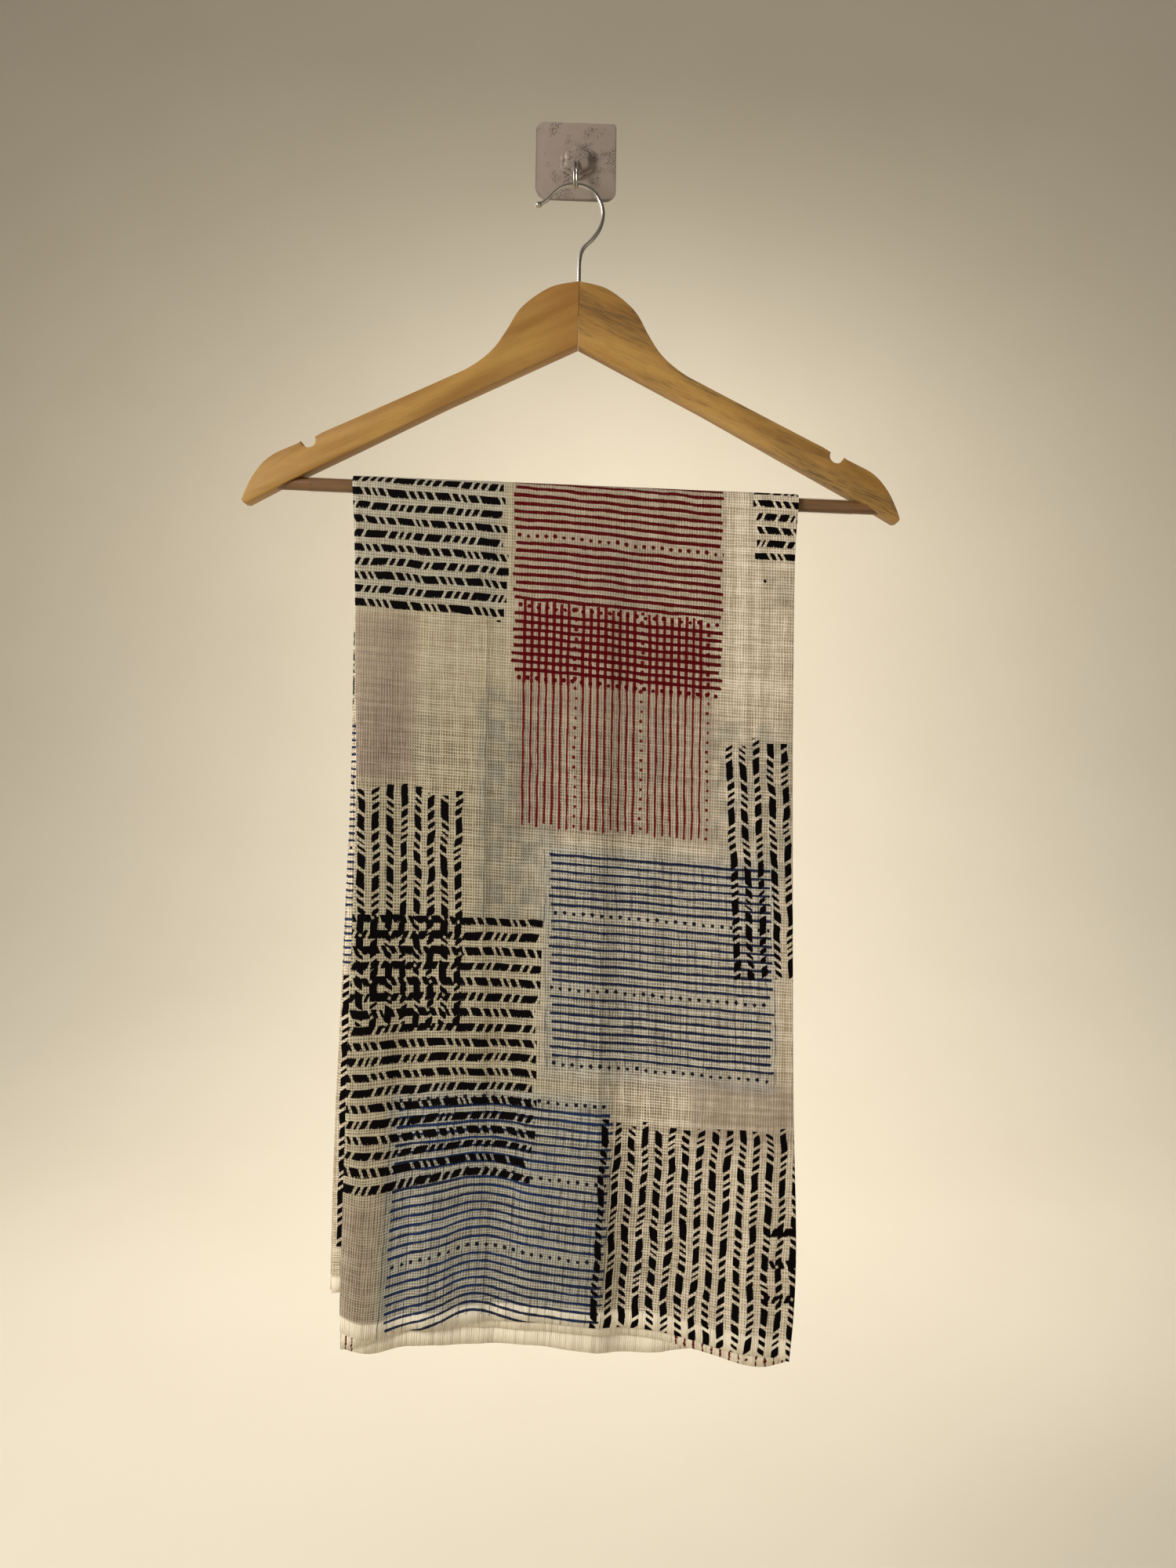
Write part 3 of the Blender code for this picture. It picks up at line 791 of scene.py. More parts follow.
# How far the front stands towards the viewer: distance below the bar, then the height in mm
# at each of these places across. Long soft ridges rise slowly from the left and fall quickly
RELIEF_PLACES = (
    -150.0, -139.0, -123.0, -112.0, -102.0, -95.0, -86.0, -70.0, -57.0, -46.0,
    -36.0, -10.0, 19.0, 28.0, 39.0, 62.0, 100.0, 136.0, 153.0,
)
RELIEF = (
    (0.0, 0.0, 0.0, 0.0, 0.0, 0.0, 0.0, 0.0, 0.0, 0.0,
     0.0, 0.0, 0.0, 0.0, 0.0, 0.0, 0.0, 0.0, 0.0, 0.0),
    (25.0, 0.0, 0.2, 0.0, -0.1, 0.0, 0.1, 0.1, 0.2, 0.2, 0.0,
     0.0, 0.3, 0.5, 0.4, -0.2, -0.1, 0.1, 0.3, 0.0),
    (100.0, 0.1, 0.7, 0.3, -0.3, -0.3, 0.1, 0.3, 0.6, 0.8, 0.1,
     0.1, 0.7, 1.2, 0.9, -0.5, -0.4, 0.2, 0.7, 0.1),
    (190.0, 0.2, 1.5, 0.5, -0.9, -1.0, -0.2, 0.2, 0.7, 1.1, 0.1,
     0.0, 0.8, 1.7, 1.1, -0.8, -0.6, 0.2, 1.1, 0.2),
    (300.0, 0.2, 2.3, 0.7, -1.6, -1.9, -1.5, -1.0, -0.4, 0.2, -1.2,
     -1.0, 0.6, 2.2, 1.3, -1.0, -0.6, 0.3, 1.1, 0.2),
    (420.0, 0.0, 2.6, 1.4, -1.3, -1.9, -0.9, -0.5, -0.9, -1.5, -3.0,
     -2.3, 0.6, 2.9, 1.8, -1.2, -0.7, 0.5, 1.3, 0.2),
    (520.0, 0.0, 3.0, 1.9, -1.4, -1.2, 0.9, 0.5, -1.1, -2.2, -3.2,
     -1.8, 1.4, 3.4, 2.2, -1.5, -0.9, 0.7, 1.7, 0.3),
    (582.0, 0.0, 3.0, 1.7, -1.2, -0.9, 1.0, 0.5, -1.2, -2.4, -3.0,
     -1.5, 1.5, 3.2, 1.8, -1.8, -0.9, 0.9, 1.8, 0.3),
)
# Place across, half width, height towards the viewer, and where it starts and is full
FRONT_WAVES = (
    (-55.5, 2.4, 0.5, 70.0, 130.0), (24.5, 2.4, 0.55, 200.0, 270.0),
    (-24.0, 5.0, 0.5, 300.0, 480.0), (-78.0, 4.0, 0.6, 430.0, 540.0),
    (66.0, 6.0, 0.5, 460.0, 560.0), (118.0, 7.0, 0.7, 500.0, 575.0),
)
BACK_WAVES = (
    (-110.0, 30.0, 1.3, 200.0, 560.0),
    (-30.0, 26.0, -1.1, 260.0, 560.0),
    (60.0, 34.0, 1.5, 220.0, 560.0),
)
print("sheet", CLOTH_WIDTH, "by", LAYERS * LAYER_LENGTH, "mm")


# %% Laying the sheet on the fold
def bar_height(across):
    """Height of the bar's middle line at a place across, in mm."""
    lean = BAR_LEAN - math.tan(HANGER_TILT)
    return HANGER_CORNER.z / MM + BAR_DROP + lean * (across - HANGER_CORNER.x / MM)


def wave(table, across, below):
    total = 0.0
    for centre, spread, lift, start, full in table:
        share = eased((below - start) / (full - start))
        total += lift * share * math.exp(-(((across - centre) / spread) ** 2))
    return total


def ripple(across, below, depth):
    """The faint unevenness of thin cloth that has hung for a while, in mm."""
    return (
        0.18 * math.sin(across / 8.3 + below / 61.0 + depth)
        + 0.16 * math.sin(across / 17.1 - below / 38.0 + 2.1 * depth)
        + 0.12 * math.sin(across / 4.9 + below / 97.0 + 1.3)
        + 0.12 * math.sin(below / 13.0 + across / 41.0)
    )


def section():
    """Each column of the grid: its layer, share across, depth in the stack and bulge."""
    columns = []
    for layer in range(LAYERS):
        depth = float(LAYERS - 1 - layer)
        count = COLUMNS_OUTER if layer == 0 else COLUMNS_INNER
        shares = [step / (count - 1) for step in range(count)]
        runs_right = layer % 2 == 0
        columns += [(layer, s, depth, 0.0) for s in (shares if runs_right else shares[::-1])]
        if layer == LAYERS - 1:
            break
        edge = 1.0 if runs_right else 0.0
        for step in range(1, FOLD_STEPS):
            turn = math.pi * step / FOLD_STEPS
            bulge = math.sin(turn) if edge else -math.sin(turn)
            owner = layer if step <= FOLD_STEPS / 2 else layer + 1
            columns.append((owner, edge, depth - 0.5 + 0.5 * math.cos(turn), bulge))
    return columns


def hem_length(across, depth):
    column = 1 + (LAYERS - 1 - depth)
    low = int(math.floor(column))
    share = column - low
    first = between(HEMS, across, low)
    if share == 0.0:
        return first
    return first + (between(HEMS, across, low + 1) - first) * share


def sheet_point(column, leg, along):
    """A point on the sheet in mm, and how far it is below the bar.

    Along runs from 1 at a hem to 0 at the bar, or over the bar as the share of its half turn.
    """
    _, share, depth, bulge = column
    inset = LAYER_INSET * (LAYERS - 1 - depth) * (0.5 - share)
    length = hem_length((share - 0.5) * FOLDED_WIDTH + FOLDED_MIDDLE, depth)
    if leg == "back":
        length = CLOTH_WIDTH - OVER_BAR - length
        if depth > LAYERS - 1.5:
            length -= DRAWN_UP * max(1.0 - share / DRAWN_SHARE, 0.0)
    below = 0.0 if leg == "bar" else along * length
    edges = BACK_EDGES if leg == "back" else FRONT_EDGES
    left, right = between(edges, below, 1), between(edges, below, 2)
    loose = eased(below / LOOSE_BELOW)
    layer_step = TIGHT_STEP + (LOOSE_STEP - TIGHT_STEP) * loose
    radius = FIRST_RADIUS + loose * 0.7 + depth * layer_step
    across = left + (right - left) * share + inset + bulge * layer_step / 2
    angle = {"front": 0.0, "back": math.pi, "bar": math.pi * along}[leg]
    forward = radius * math.cos(angle)
    settled = limited(below / SETTLED_BELOW)
    if leg == "front":
        forward += from_grid(RELIEF, RELIEF_PLACES, across, below)
        forward += wave(FRONT_WAVES, across, below) + settled * ripple(across, below, depth)
        near_hem = limited((below - FLUTTER_BELOW) / FLUTTER_GROWS)
        forward += near_hem * 0.5 * math.sin(across / 10.0 + 0.9 * depth)
        forward += near_hem * 0.25 * math.sin(across / 4.3 + 0.8 * depth)
    if leg == "back":
        forward -= wave(BACK_WAVES, across, below) + settled * ripple(across, below, 5.0 - depth)
    height = bar_height(across) + radius * math.sin(angle) - below
    return Vector((across, HANGER_CORNER.y / MM - forward, height)), below


print(len(section()), "columns by", 2 * LEG_ROWS + BAR_ROWS + 1, "rows")

# %% [markdown]
# ## The cloth's print
#
# Printers stamp carved blocks, one after another and over each other: rows of short dashes,
# rows of stripes with a row of dots after every eighth, and the same turned on their side.
# Each kind of block gets one rule that draws its marks, and a table says where each block was
# set down. Every corner of the sheet carries its place in the nearest block of each kind as an
# attribute, so one rule serves all the blocks of its kind.

# %% Where each block was set down
# Distances in mm: across from the middle, and below the bar. The back leg counts from 700, and
# each hidden layer is 400 further across. Rows: kind, left, top, length, pitch, rows, which row
# of its cycle comes first, and a lean
BLACK_ROWS, BLACK_COLUMNS, RED_ROWS, RED_COLUMNS, BLUE_ROWS = range(5)
KINDS = ("black_rows", "black_columns", "red_rows", "red_columns", "blue_rows")
LAYER_SHIFT = 400.0
BACK_SHIFT = 700.0
BLOCKS = (
    # front
    (BLACK_ROWS, -170.0, -14.7, 127.5, 9.42, 11, 0, 0.02),
    (BLACK_ROWS, 121.0, -19.1, 45.0, 9.0, 6, 1, 0.03),
    (BLACK_ROWS, -170.0, 285.6, 155.5, 10.12, 18, 0, -0.02),
    (BLACK_ROWS, 137.0, 486.0, 32.0, 10.1, 1, 1, 0.0),
    (BLACK_ROWS, 136.0, 508.0, 34.0, 10.1, 1, 0, 0.0),
    (BLACK_ROWS, 137.0, 532.0, 34.0, 10.1, 1, 1, 0.0),
    (RED_ROWS, -38.6, -15.0, 142.0, 5.34, 27, 0, 0.0),
    (RED_COLUMNS, -32.3, 74.5, 152.0, 4.935, 26, 1, 0.0),
    (BLUE_ROWS, -12.0, 240.4, 151.0, 5.583, 26, 1, 0.02),
    (BLUE_ROWS, -112.0, 406.4, 147.0, 5.73, 27, 8, 0.0),
    (BLACK_COLUMNS, -141.9, 201.0, 162.0, 9.35, 8, 0, 0.0),
    (BLACK_COLUMNS, 103.2, 153.0, 166.0, 9.17, 6, 1, 0.05),
    (BLACK_COLUMNS, 24.1, 416.0, 178.0, 9.22, 15, 0, 0.0),
    # hidden layers, where a hem or an edge shows
    (RED_COLUMNS, 250.0, 420.0, 170.0, 4.2, 5, 0, 0.0),
    (RED_COLUMNS, 650.0, 420.0, 170.0, 4.2, 5, 0, 0.0),
    (RED_COLUMNS, 481.0, 400.0, 186.0, 5.8, 14, 0, 0.0),
    # back
    (BLACK_COLUMNS, -130.0, 1026.0, 190.0, 9.3, 6, 1, 0.0),
    (BLACK_ROWS, -60.0, 681.0, 104.0, 9.5, 10, 0, 0.0),
    (RED_ROWS, 52.0, 690.0, 108.0, 5.34, 27, 0, 0.0),
    (RED_COLUMNS, -30.0, 812.0, 140.0, 4.935, 26, 1, 0.0),
    (BLACK_ROWS, 20.0, 985.0, 140.0, 10.1, 14, 0, 0.0),
    (BLUE_ROWS, -96.0, 1100.0, 150.0, 5.7, 26, 1, 0.0),
    (BLACK_COLUMNS, 66.0, 1140.0, 150.0, 9.2, 9, 0, 0.0),
)
# Numbers in the table above: the first block of the hidden layers, and the lower blue block
FIRST_HIDDEN, SECOND_BLUE = 13, 9
# What shows at the left edge of the back leg, the same in each layer
EDGE_BLOCKS = (
    (BLACK_COLUMNS, -154.2, 790.0, 62.0, 9.3, 2, 0, 0.0),
    (BLUE_ROWS, -175.0, 860.0, 60.0, 4.9, 34, 0, 0.0),
    (BLACK_COLUMNS, -154.0, 1030.0, 190.0, 9.3, 2, 1, -0.012),
)
for layer in range(LAYERS):
    BLOCKS += tuple((kind, left + layer * LAYER_SHIFT, *rest) for kind, left, *rest in EDGE_BLOCKS)
BLOCKS_OF = [[(i, b) for i, b in enumerate(BLOCKS) if b[0] == kind] for kind in range(len(KINDS))]
print(len(BLOCKS), "blocks stamped")

# Pinkish and bluish washes left by earlier dye baths: left, top, right, bottom, strength
PINK_STAINS = (
    (-146.0, 90.0, -103.0, 202.0, 1.1),
    (86.0, 384.0, 156.0, 432.0, 0.8),
    (-150.0, 470.0, -118.0, 566.0, 0.75),
    (-38.0, -20.0, 103.0, 78.0, 0.65),
    (-36.0, 78.0, 98.0, 150.0, 0.85),
    (-36.0, 150.0, 98.0, 228.0, 0.6),
    (20.0, 900.0, 80.0, 1010.0, 0.8),
    (-140.0, 1180.0, -60.0, 1260.0, 0.7),
)
BLUE_STAINS = (
    (-160.0, -20.0, -44.0, 84.0, 0.5),
    (-14.0, 236.0, 142.0, 392.0, 0.7),
    (-116.0, 402.0, 32.0, 572.0, 0.85),
    (-60.0, 860.0, 20.0, 1010.0, 0.5),
    (-100.0, 1100.0, 50.0, 1250.0, 0.5),
)

# Faded checks that an earlier block left, seen as greyish squares, in the same columns
GHOST_STAINS = (
    (-126.0, 132.0, -88.0, 190.0, 0.35),
    (-60.0, 136.0, -12.0, 290.0, 0.8),
    (-34.0, 130.0, -4.0, 240.0, 0.6),
    (4.0, 132.0, 26.0, 190.0, 0.5),
    (40.0, 132.0, 66.0, 190.0, 0.5),
    (92.0, 142.0, 152.0, 250.0, 0.6),
    (132.0, 40.0, 148.0, 64.0, 0.5),
    (-20.0, 20.0, 60.0, 74.0, 0.4),
)

WASHES = (PINK_STAINS, BLUE_STAINS, GHOST_STAINS)

# %% [markdown]
# The cloth pulls out of square as it hangs: rows that were printed straight now rise and fall
# with it. One table says how much lower than straight the rows lie, and the lowest part of the
# sheet also drifts to the left.

# %% How the hanging cloth pulls the print
# Distance below the bar, then the drop in mm at each of these places across
DROP_PLACES = (-150.0, -130.0, -84.0, -60.0, -40.0, -14.0, 30.0, 100.0, 152.0)
DROPS = (
    (-20.0, -4.5, -3.9, -2.3, -1.6, -0.9, 0.0, 2.6, 6.8, 7.5),
    (120.0, -4.5, -3.9, -2.2, -1.5, -0.9, 0.0, 2.6, 6.8, 7.5),
    (225.0, -3.0, -2.6, -1.5, -1.0, -0.6, 0.0, 2.0, 5.0, 6.5),
    (290.0, 0.6, 0.4, 0.0, 0.0, 0.0, 0.0, 1.6, 4.6, 6.0),
    (375.0, 6.6, 4.6, 1.0, -0.3, -0.3, 0.0, 1.8, 5.0, 7.0),
    (430.0, 8.0, 7.4, 1.2, -2.0, -1.8, 0.0, 1.6, 3.0, 3.0),
    (465.0, 8.5, 10.0, 0.8, -4.6, -3.6, 0.0, 2.0, 1.0, 0.0),
    (515.0, 15.0, 16.0, 3.3, -4.8, -3.6, 0.0, 2.0, 0.0, -2.0),
    (550.0, 17.0, 18.5, 3.3, -7.0, -3.2, 0.0, 2.0, 0.0, -3.0),
    (582.0, 17.0, 18.5, 3.3, -7.0, -3.2, 0.0, 2.0, 0.0, -3.0),
)


def print_place(across, below):
    """Where a point of the front leg lies in the straight, flat print."""
    steady = 0.05 if across < 40.0 else 0.05 - (across - 40.0) / 4400.0
    drift = max(below - 420.0, 0.0) * steady
    return across + drift, below - from_grid(DROPS, DROP_PLACES, across, below)


def nearest_block(kind, across, below):
    def distance(numbered):
        _, left, top, length, pitch, rows, _, _ = numbered[1]
        wide, high = length, rows * pitch
        if kind in (BLACK_COLUMNS, RED_COLUMNS):
            wide, high = high, wide
        out = max(left - across, across - left - wide, 0.0)
        down = max(top - below, below - top - high, 0.0)
        return math.hypot(out, down)
    return min(BLOCKS_OF[kind], key=distance)


def place_in_block(block, across, below):
    """Millimetres along a block's rows, and rows across them."""
    kind, left, top, _, pitch, _, _, lean = block
    out, down = across - left - lean * (below - top), below - top
    return (down, out / pitch) if kind in (BLACK_COLUMNS, RED_COLUMNS) else (out, down / pitch)


def stain(table, across, below):
    """How strongly a place is stained, with soft edges 6 mm wide."""
    strongest = 0.0
    for left, top, right, bottom, strength in table:
        inside = min(across - left, right - across, below - top, bottom - below)
        strongest = max(strongest, strength * limited(inside / 6.0 + 0.5))
    return strongest


# %% The sheet
def make_sheet(finish):
    columns = section()
    stations = [("front", 1.0 - step / LEG_ROWS) for step in range(LEG_ROWS + 1)]
    stations += [("bar", step / BAR_ROWS) for step in range(1, BAR_ROWS)]
    stations += [("back", step / LEG_ROWS) for step in range(LEG_ROWS + 1)]
    points = [[sheet_point(column, *station) for station in stations] for column in columns]
    bm = bmesh.new()
    bmesh.ops.create_grid(bm, x_segments=len(columns) - 1, y_segments=len(stations) - 1, size=1.0)
    homes = {}
    for vert in bm.verts:
        column = round((vert.co.x + 1.0) / 2.0 * (len(columns) - 1))
        station = round((vert.co.y + 1.0) / 2.0 * (len(stations) - 1))
        homes[vert] = (column, station)
        vert.co = points[column][station][0] * MM
    weave = bm.loops.layers.uv.new("weave")
    kinds = [bm.loops.layers.float_vector.new(name) for name in KINDS]
    sizes = [bm.loops.layers.float_vector.new(name + "_size") for name in KINDS]
    stains = bm.loops.layers.float_vector.new("stains")
    hang = LEG_ROWS + BAR_ROWS / 2
    for face in bm.faces:
        home = [homes[loop.vert] for loop in face.loops]
        first = min(column for column, _ in home)
        layer = columns[first][0]
        middle = sum(station for _, station in home) / 4.0
        back = middle > hang
        corners = []
        for column, station in home:
            point, below = points[column][station]
            across = point.x + math.copysign(abs(columns[column][3]) * 1.2, point.x)
            leg, along = stations[station]
            if leg == "bar":
                turn = along if not back else 1.0 - along
                below = -turn * math.pi * (FIRST_RADIUS + 1.5)
            hem = hem_length(min(max(across, -148.0), 155.0), columns[column][2])
            if back:
                flat_below = below
                hem = CLOTH_WIDTH - OVER_BAR - hem
            else:
                across, flat_below = print_place(across, below)
            near_hem = limited(1.0 - (hem - below) / HEM_ZONE)
            from_hem = (PLAIN_HEM - flat_below) * (1.0 - near_hem) + (hem - below) * near_hem
            corners.append((across, flat_below + back * BACK_SHIFT, from_hem))
        centre = [sum(corner[axis] for corner in corners) / 4.0 for axis in range(2)]
        shifted = (centre[0] + layer * LAYER_SHIFT, centre[1])
        blocks = [nearest_block(kind, *shifted) for kind in range(len(KINDS))]
        for loop, (across, below, from_hem) in zip(face.loops, corners):
            side = across if layer % 2 == 0 else -across
            flat_across = LAYER_LENGTH * 0.5 + side + layer * LAYER_LENGTH
            up = CLOTH_WIDTH - from_hem if back else from_hem
            loop[weave].uv = (flat_across * MM, up * MM)
            for kind, (number, block) in enumerate(blocks):
                along, rows = place_in_block(block, across + layer * LAYER_SHIFT, below)
                loop[kinds[kind]] = (along, rows, float(number))
                loop[sizes[kind]] = (block[3], float(block[5]), float(block[6]))
            loop[stains] = [stain(table, across + layer * LAYER_SHIFT, below) for table in WASHES]
    cloth = add_piece("printed_sheet", bm, finish, "printed_cotton", "ajrakh_cloth", sharp=180.0)
    thickness = cloth.modifiers.new("sheet thickness", "SOLIDIFY")
    thickness.thickness = SHEET * MM
    thickness.offset = 0.0
    return cloth


# %% [markdown]
# ## The cotton and its three colours
#
# The weave is an open check of creamy yarn with small gaps, about 1.8 mm apart, slubbed and
# uneven. The gaps are painted dark: painted shade of the layers that would show through them.
# Each selvedge is a dense ribbed band without gaps, with painted shade in the grooves between
# its ribs. The inks are drawn as distances: a mark is where the distance to its edge is positive,
# so noise added to that distance gives the ragged edges of a hand-pressed block.

# %% The weave
CREAM = from_screen(184, 174, 149)
# A paler cream for the cloth's right part: partly its own tone and partly painted light
CREAM_PALE_AND_LIT = from_screen(230, 216, 194)
YARN_SHADE = from_screen(168, 156, 130)
# Painted shade for the weave's gaps, dark and fainter: the shaded layers behind show through them
GAP_SHADE = from_screen(92, 80, 62)
GAP_SHADE_FAINT = from_screen(152, 136, 110)
GHOST = from_screen(140, 138, 128)
RIB = from_screen(242, 231, 208)
# Painted shade in the grooves between the selvedge's ribs
RIB_GROOVE_SHADE = from_screen(132, 116, 84)
PINK_STAIN = from_screen(168, 149, 135)
PINK_LINE = from_screen(104, 90, 78)
BLUE_STAIN = from_screen(156, 164, 166)
BLACK_INK = from_screen(10, 7, 8)
MADDER = from_screen(80, 6, 10)
MADDER_THIN = from_screen(98, 16, 20)
INDIGO = from_screen(26, 34, 58)
INDIGO_FRESH = from_screen(28, 46, 82)
INDIGO_DOT = from_screen(20, 24, 38)
WARP_PITCH, WEFT_PITCH, RIB_PITCH = 1.75, 1.95, 1.35
SELVEDGE = 13.0
# Two stray touches of black: across, below, and half sizes, in mm
LOOSE_SPECKS = ((-47.3, 90.0, 1.6, 0.8), (130.9, 46.9, 1.0, 1.2))
DASH_PITCH, STRIPE_PITCH = 10.0, 5.4
MARK_PITCH, MARK_SWING = 7.7, 0.083
HAIR_PITCH = 5.3

cotton = Finish("printed cotton", IOR=1.45, Specular_IOR_Level=0.04)
weave_map = cotton.node("ShaderNodeUVMap", {"uv_map": "weave"}, {})
weave_u, weave_v, _ = cotton.parts(weave_map)
warp_mm, weft_mm = weave_u * 1000.0, weave_v * 1000.0
flat_place = cotton.vector(warp_mm, weft_mm)


def stretched_noise(across, along, detail=2.0, shift=0.0):
    """Noise over the flat cloth with its own grain size across and along, in mm."""
    place = cotton.vector(warp_mm / across, weft_mm / along, shift)
    return cotton.noise(place, 1.0, detail)


def uneven(size, across, along, detail=2.0, shift=0.0):
    """The same noise, swinging half its size to either side of nothing."""
    return (stretched_noise(across, along, detail, shift) - 0.5) * size


warp_count = warp_mm / WARP_PITCH + uneven(1.1, 6.0, 26.0)
weft_count = weft_mm / WEFT_PITCH + uneven(1.1, 26.0, 6.0, shift=5.0)
warp_yarn, weft_yarn = warp_count.math("FLOOR"), weft_count.math("FLOOR")
warp_off = (warp_count - warp_yarn - 0.5).absolute() * 2.0
weft_off = (weft_count - weft_yarn - 0.5).absolute() * 2.0
warp_luck, weft_luck = cotton.random(warp_yarn), cotton.random(weft_yarn + 77.0)
slub = stretched_noise(1.9, 14.0, 3.0, 9.0) + stretched_noise(16.0, 2.1, 3.0, 13.0)
tight = (slub - 1.0) * 0.5 + uneven(0.22, 11.0, 8.0, 3.0, 17.0)
warp_wide = warp_off + tight + (warp_luck - 0.5) * 0.3
weft_wide = weft_off + tight + (weft_luck - 0.5) * 0.3
gap = (1.0 - warp_wide.step(0.4, 0.72)) * (1.0 - weft_wide.step(0.4, 0.72))
from_selvedge = weft_mm.least(CLOTH_WIDTH - weft_mm)
from_selvedge = from_selvedge + uneven(4.0, 22.0, 3.0)
dense = 1.0 - from_selvedge.step(SELVEDGE - 1.5, SELVEDGE + 1.5)
rib_count = warp_mm / RIB_PITCH + uneven(1.6, 4.0, 60.0, 2.0, 19.0)
rib = rib_count.math("FLOOR")
rib_off = (rib_count - rib - 0.5).absolute() * 2.0
rib_luck = cotton.random(rib + 501.0)
rib_groove = (rib_off + rib_luck * 0.5).step(0.9, 1.35)
gap = gap * (1.0 - dense)

# %% [markdown]
# Each rule below returns how far a point is inside the nearest mark, in mm. Two numbers drawn for
# each row of a block keep its marks from lining up with the next row's.

# %% The marks
FAR = 9.0  # what a mark loses outside its block, in mm


def attribute(name):
    return cotton.node("ShaderNodeAttribute", {"attribute_name": name}, {}, 1)


def block_place(name, wander):
    """Along and across a block, which row of the block this is, and two numbers drawn for it."""
    along, rows, block = cotton.parts(attribute(name))
    length, count, phase = cotton.parts(attribute(name + "_size"))
    # Read off a face, whole numbers come back a hair out, so they are rounded again
    block, count, phase = [(number + 0.5).math("FLOOR") for number in (block, count, phase)]
    wobble = cotton.noise(cotton.vector(along / 26.0, rows / 5.0, block), 1.0, 2.0) - 0.5
    rows = rows + wobble * wander
    row = rows.math("FLOOR")
    luck = cotton.random(row * 1.37 + block * 31.3)
    second = cotton.random(row * 2.11 + block * 17.9 + 5.5)
    off = rows - row - 0.5
    within = (rows > 0.0) * (rows < count)
    return along, length, off, row, block, phase, luck, second, within


press = cotton.noise(flat_place, 0.8, 3.0) - 0.5
nick = stretched_noise(0.9, 2.6, 2.0, 21.0)
thread_beads = (0.5 - warp_off) * 0.16 + (0.5 - weft_off) * 0.16


def dashes(name, high, slant, space, ragged, stagger, wander):
    """Rows of short slanted dashes of uneven length, ragged along one side."""
    along, length, off, row, block, phase, luck, second, within = block_place(name, wander)
    across = off * DASH_PITCH
    side = (row + phase).math("FLOORED_MODULO", 2.0) * 2.0 - 1.0
    slanted = along + across * side * slant
    stretch = 22.0 + second * 20.0
    turn = (slanted / stretch + luck) * FULL_TURN
    per_mm = 1.0 / MARK_PITCH + turn.math("COSINE") * MARK_SWING
    counted = slanted / MARK_PITCH + turn.math("SINE") * stretch * (MARK_SWING / FULL_TURN)
    counted = counted + row * 13.7 + block * 7.3
    edge = cotton.node(
        "ShaderNodeTexVoronoi",
        {"voronoi_dimensions": "1D", "feature": "DISTANCE_TO_EDGE"},
        {"W": counted, "Scale": 1.0, "Randomness": 0.66},
    )
    from_end = edge / per_mm - space * 0.5
    half = high * 0.5 + (luck - 0.5) * 0.4
    from_top = across + half
    from_foot = half - across - nick.step(0.56, 0.7) * ragged
    inside = from_top.math("SMOOTH_MIN", from_foot, 0.8)
    inside = inside.math("SMOOTH_MIN", from_end, 1.6) + 0.12
    ends = (along - luck * stagger).least(length - along - second * 4.6)
    return inside.least(ends) + press * 0.4 + (within - 1.0) * FAR


def stripes(name, thick, dot, dot_pitch, wander):
    """Rows of thin stripes, with a row of dots after every eighth."""
    along, length, off, row, block, phase, luck, second, within = block_place(name, wander)
    across = off * STRIPE_PITCH
    cycle = (row + phase).math("FLOORED_MODULO", 9.0)
    dotted = cycle > 7.5
    swell = cotton.noise(cotton.vector(along / 7.0, row * 3.7 + block), 1.0, 2.0) - 0.5
    line = thick * 0.5 + swell * 0.7 - across.absolute()
    beat = along / dot_pitch + luck
    beat_off = (beat - beat.math("FLOOR") - 0.5) * dot_pitch
    lucky = cotton.random(beat.math("FLOOR") + row * 9.1 + block)
    drift = across + (lucky - 0.5) * 1.0
    from_dot = dot * (0.42 + lucky * 0.14) - (beat_off * beat_off + drift * drift).math("SQRT")
    mark = line + (from_dot - line) * dotted
    ends = (along - luck * 2.4).least(length - along - second * 3.0)
    mark = mark.math("SMOOTH_MIN", ends, 0.7)
    return mark + press * 0.75 + thread_beads + (within - 1.0) * FAR, dotted, block


black_row_marks = dashes("black_rows", 5.2, 0.46, 2.2, 1.2, 4.0, 0.4)
black_column_marks = dashes("black_columns", 4.9, 0.62, 2.5, 0.5, 8.0, 0.6)
red_row_marks, *_ = stripes("red_rows", 2.5, 2.9, 6.0, 0.5)
blue_marks, blue_dotted, blue_block = stripes("blue_rows", 1.75, 2.6, 6.2, 0.4)
red_column_marks, _, red_block = stripes("red_columns", 1.6, 2.3, 6.6, 0.4)
in_red_rows = (red_row_marks + 4.0).step(0.0, 1.5)
in_hidden_layer = red_block > FIRST_HIDDEN - 0.5
patchy_ticks = uneven(2.4, 3.0, 2.2, 2.0, 25.0)
red_column_marks = red_column_marks + in_red_rows * 0.4 + in_hidden_layer * (patchy_ticks - 0.25)

# %% [markdown]
# Ink goes on in the printer's order: indigo first, then madder, then black. Under them all lie
# the yarn, the faded washes of earlier blocks and the weave's gaps, painted dark as painted shade.

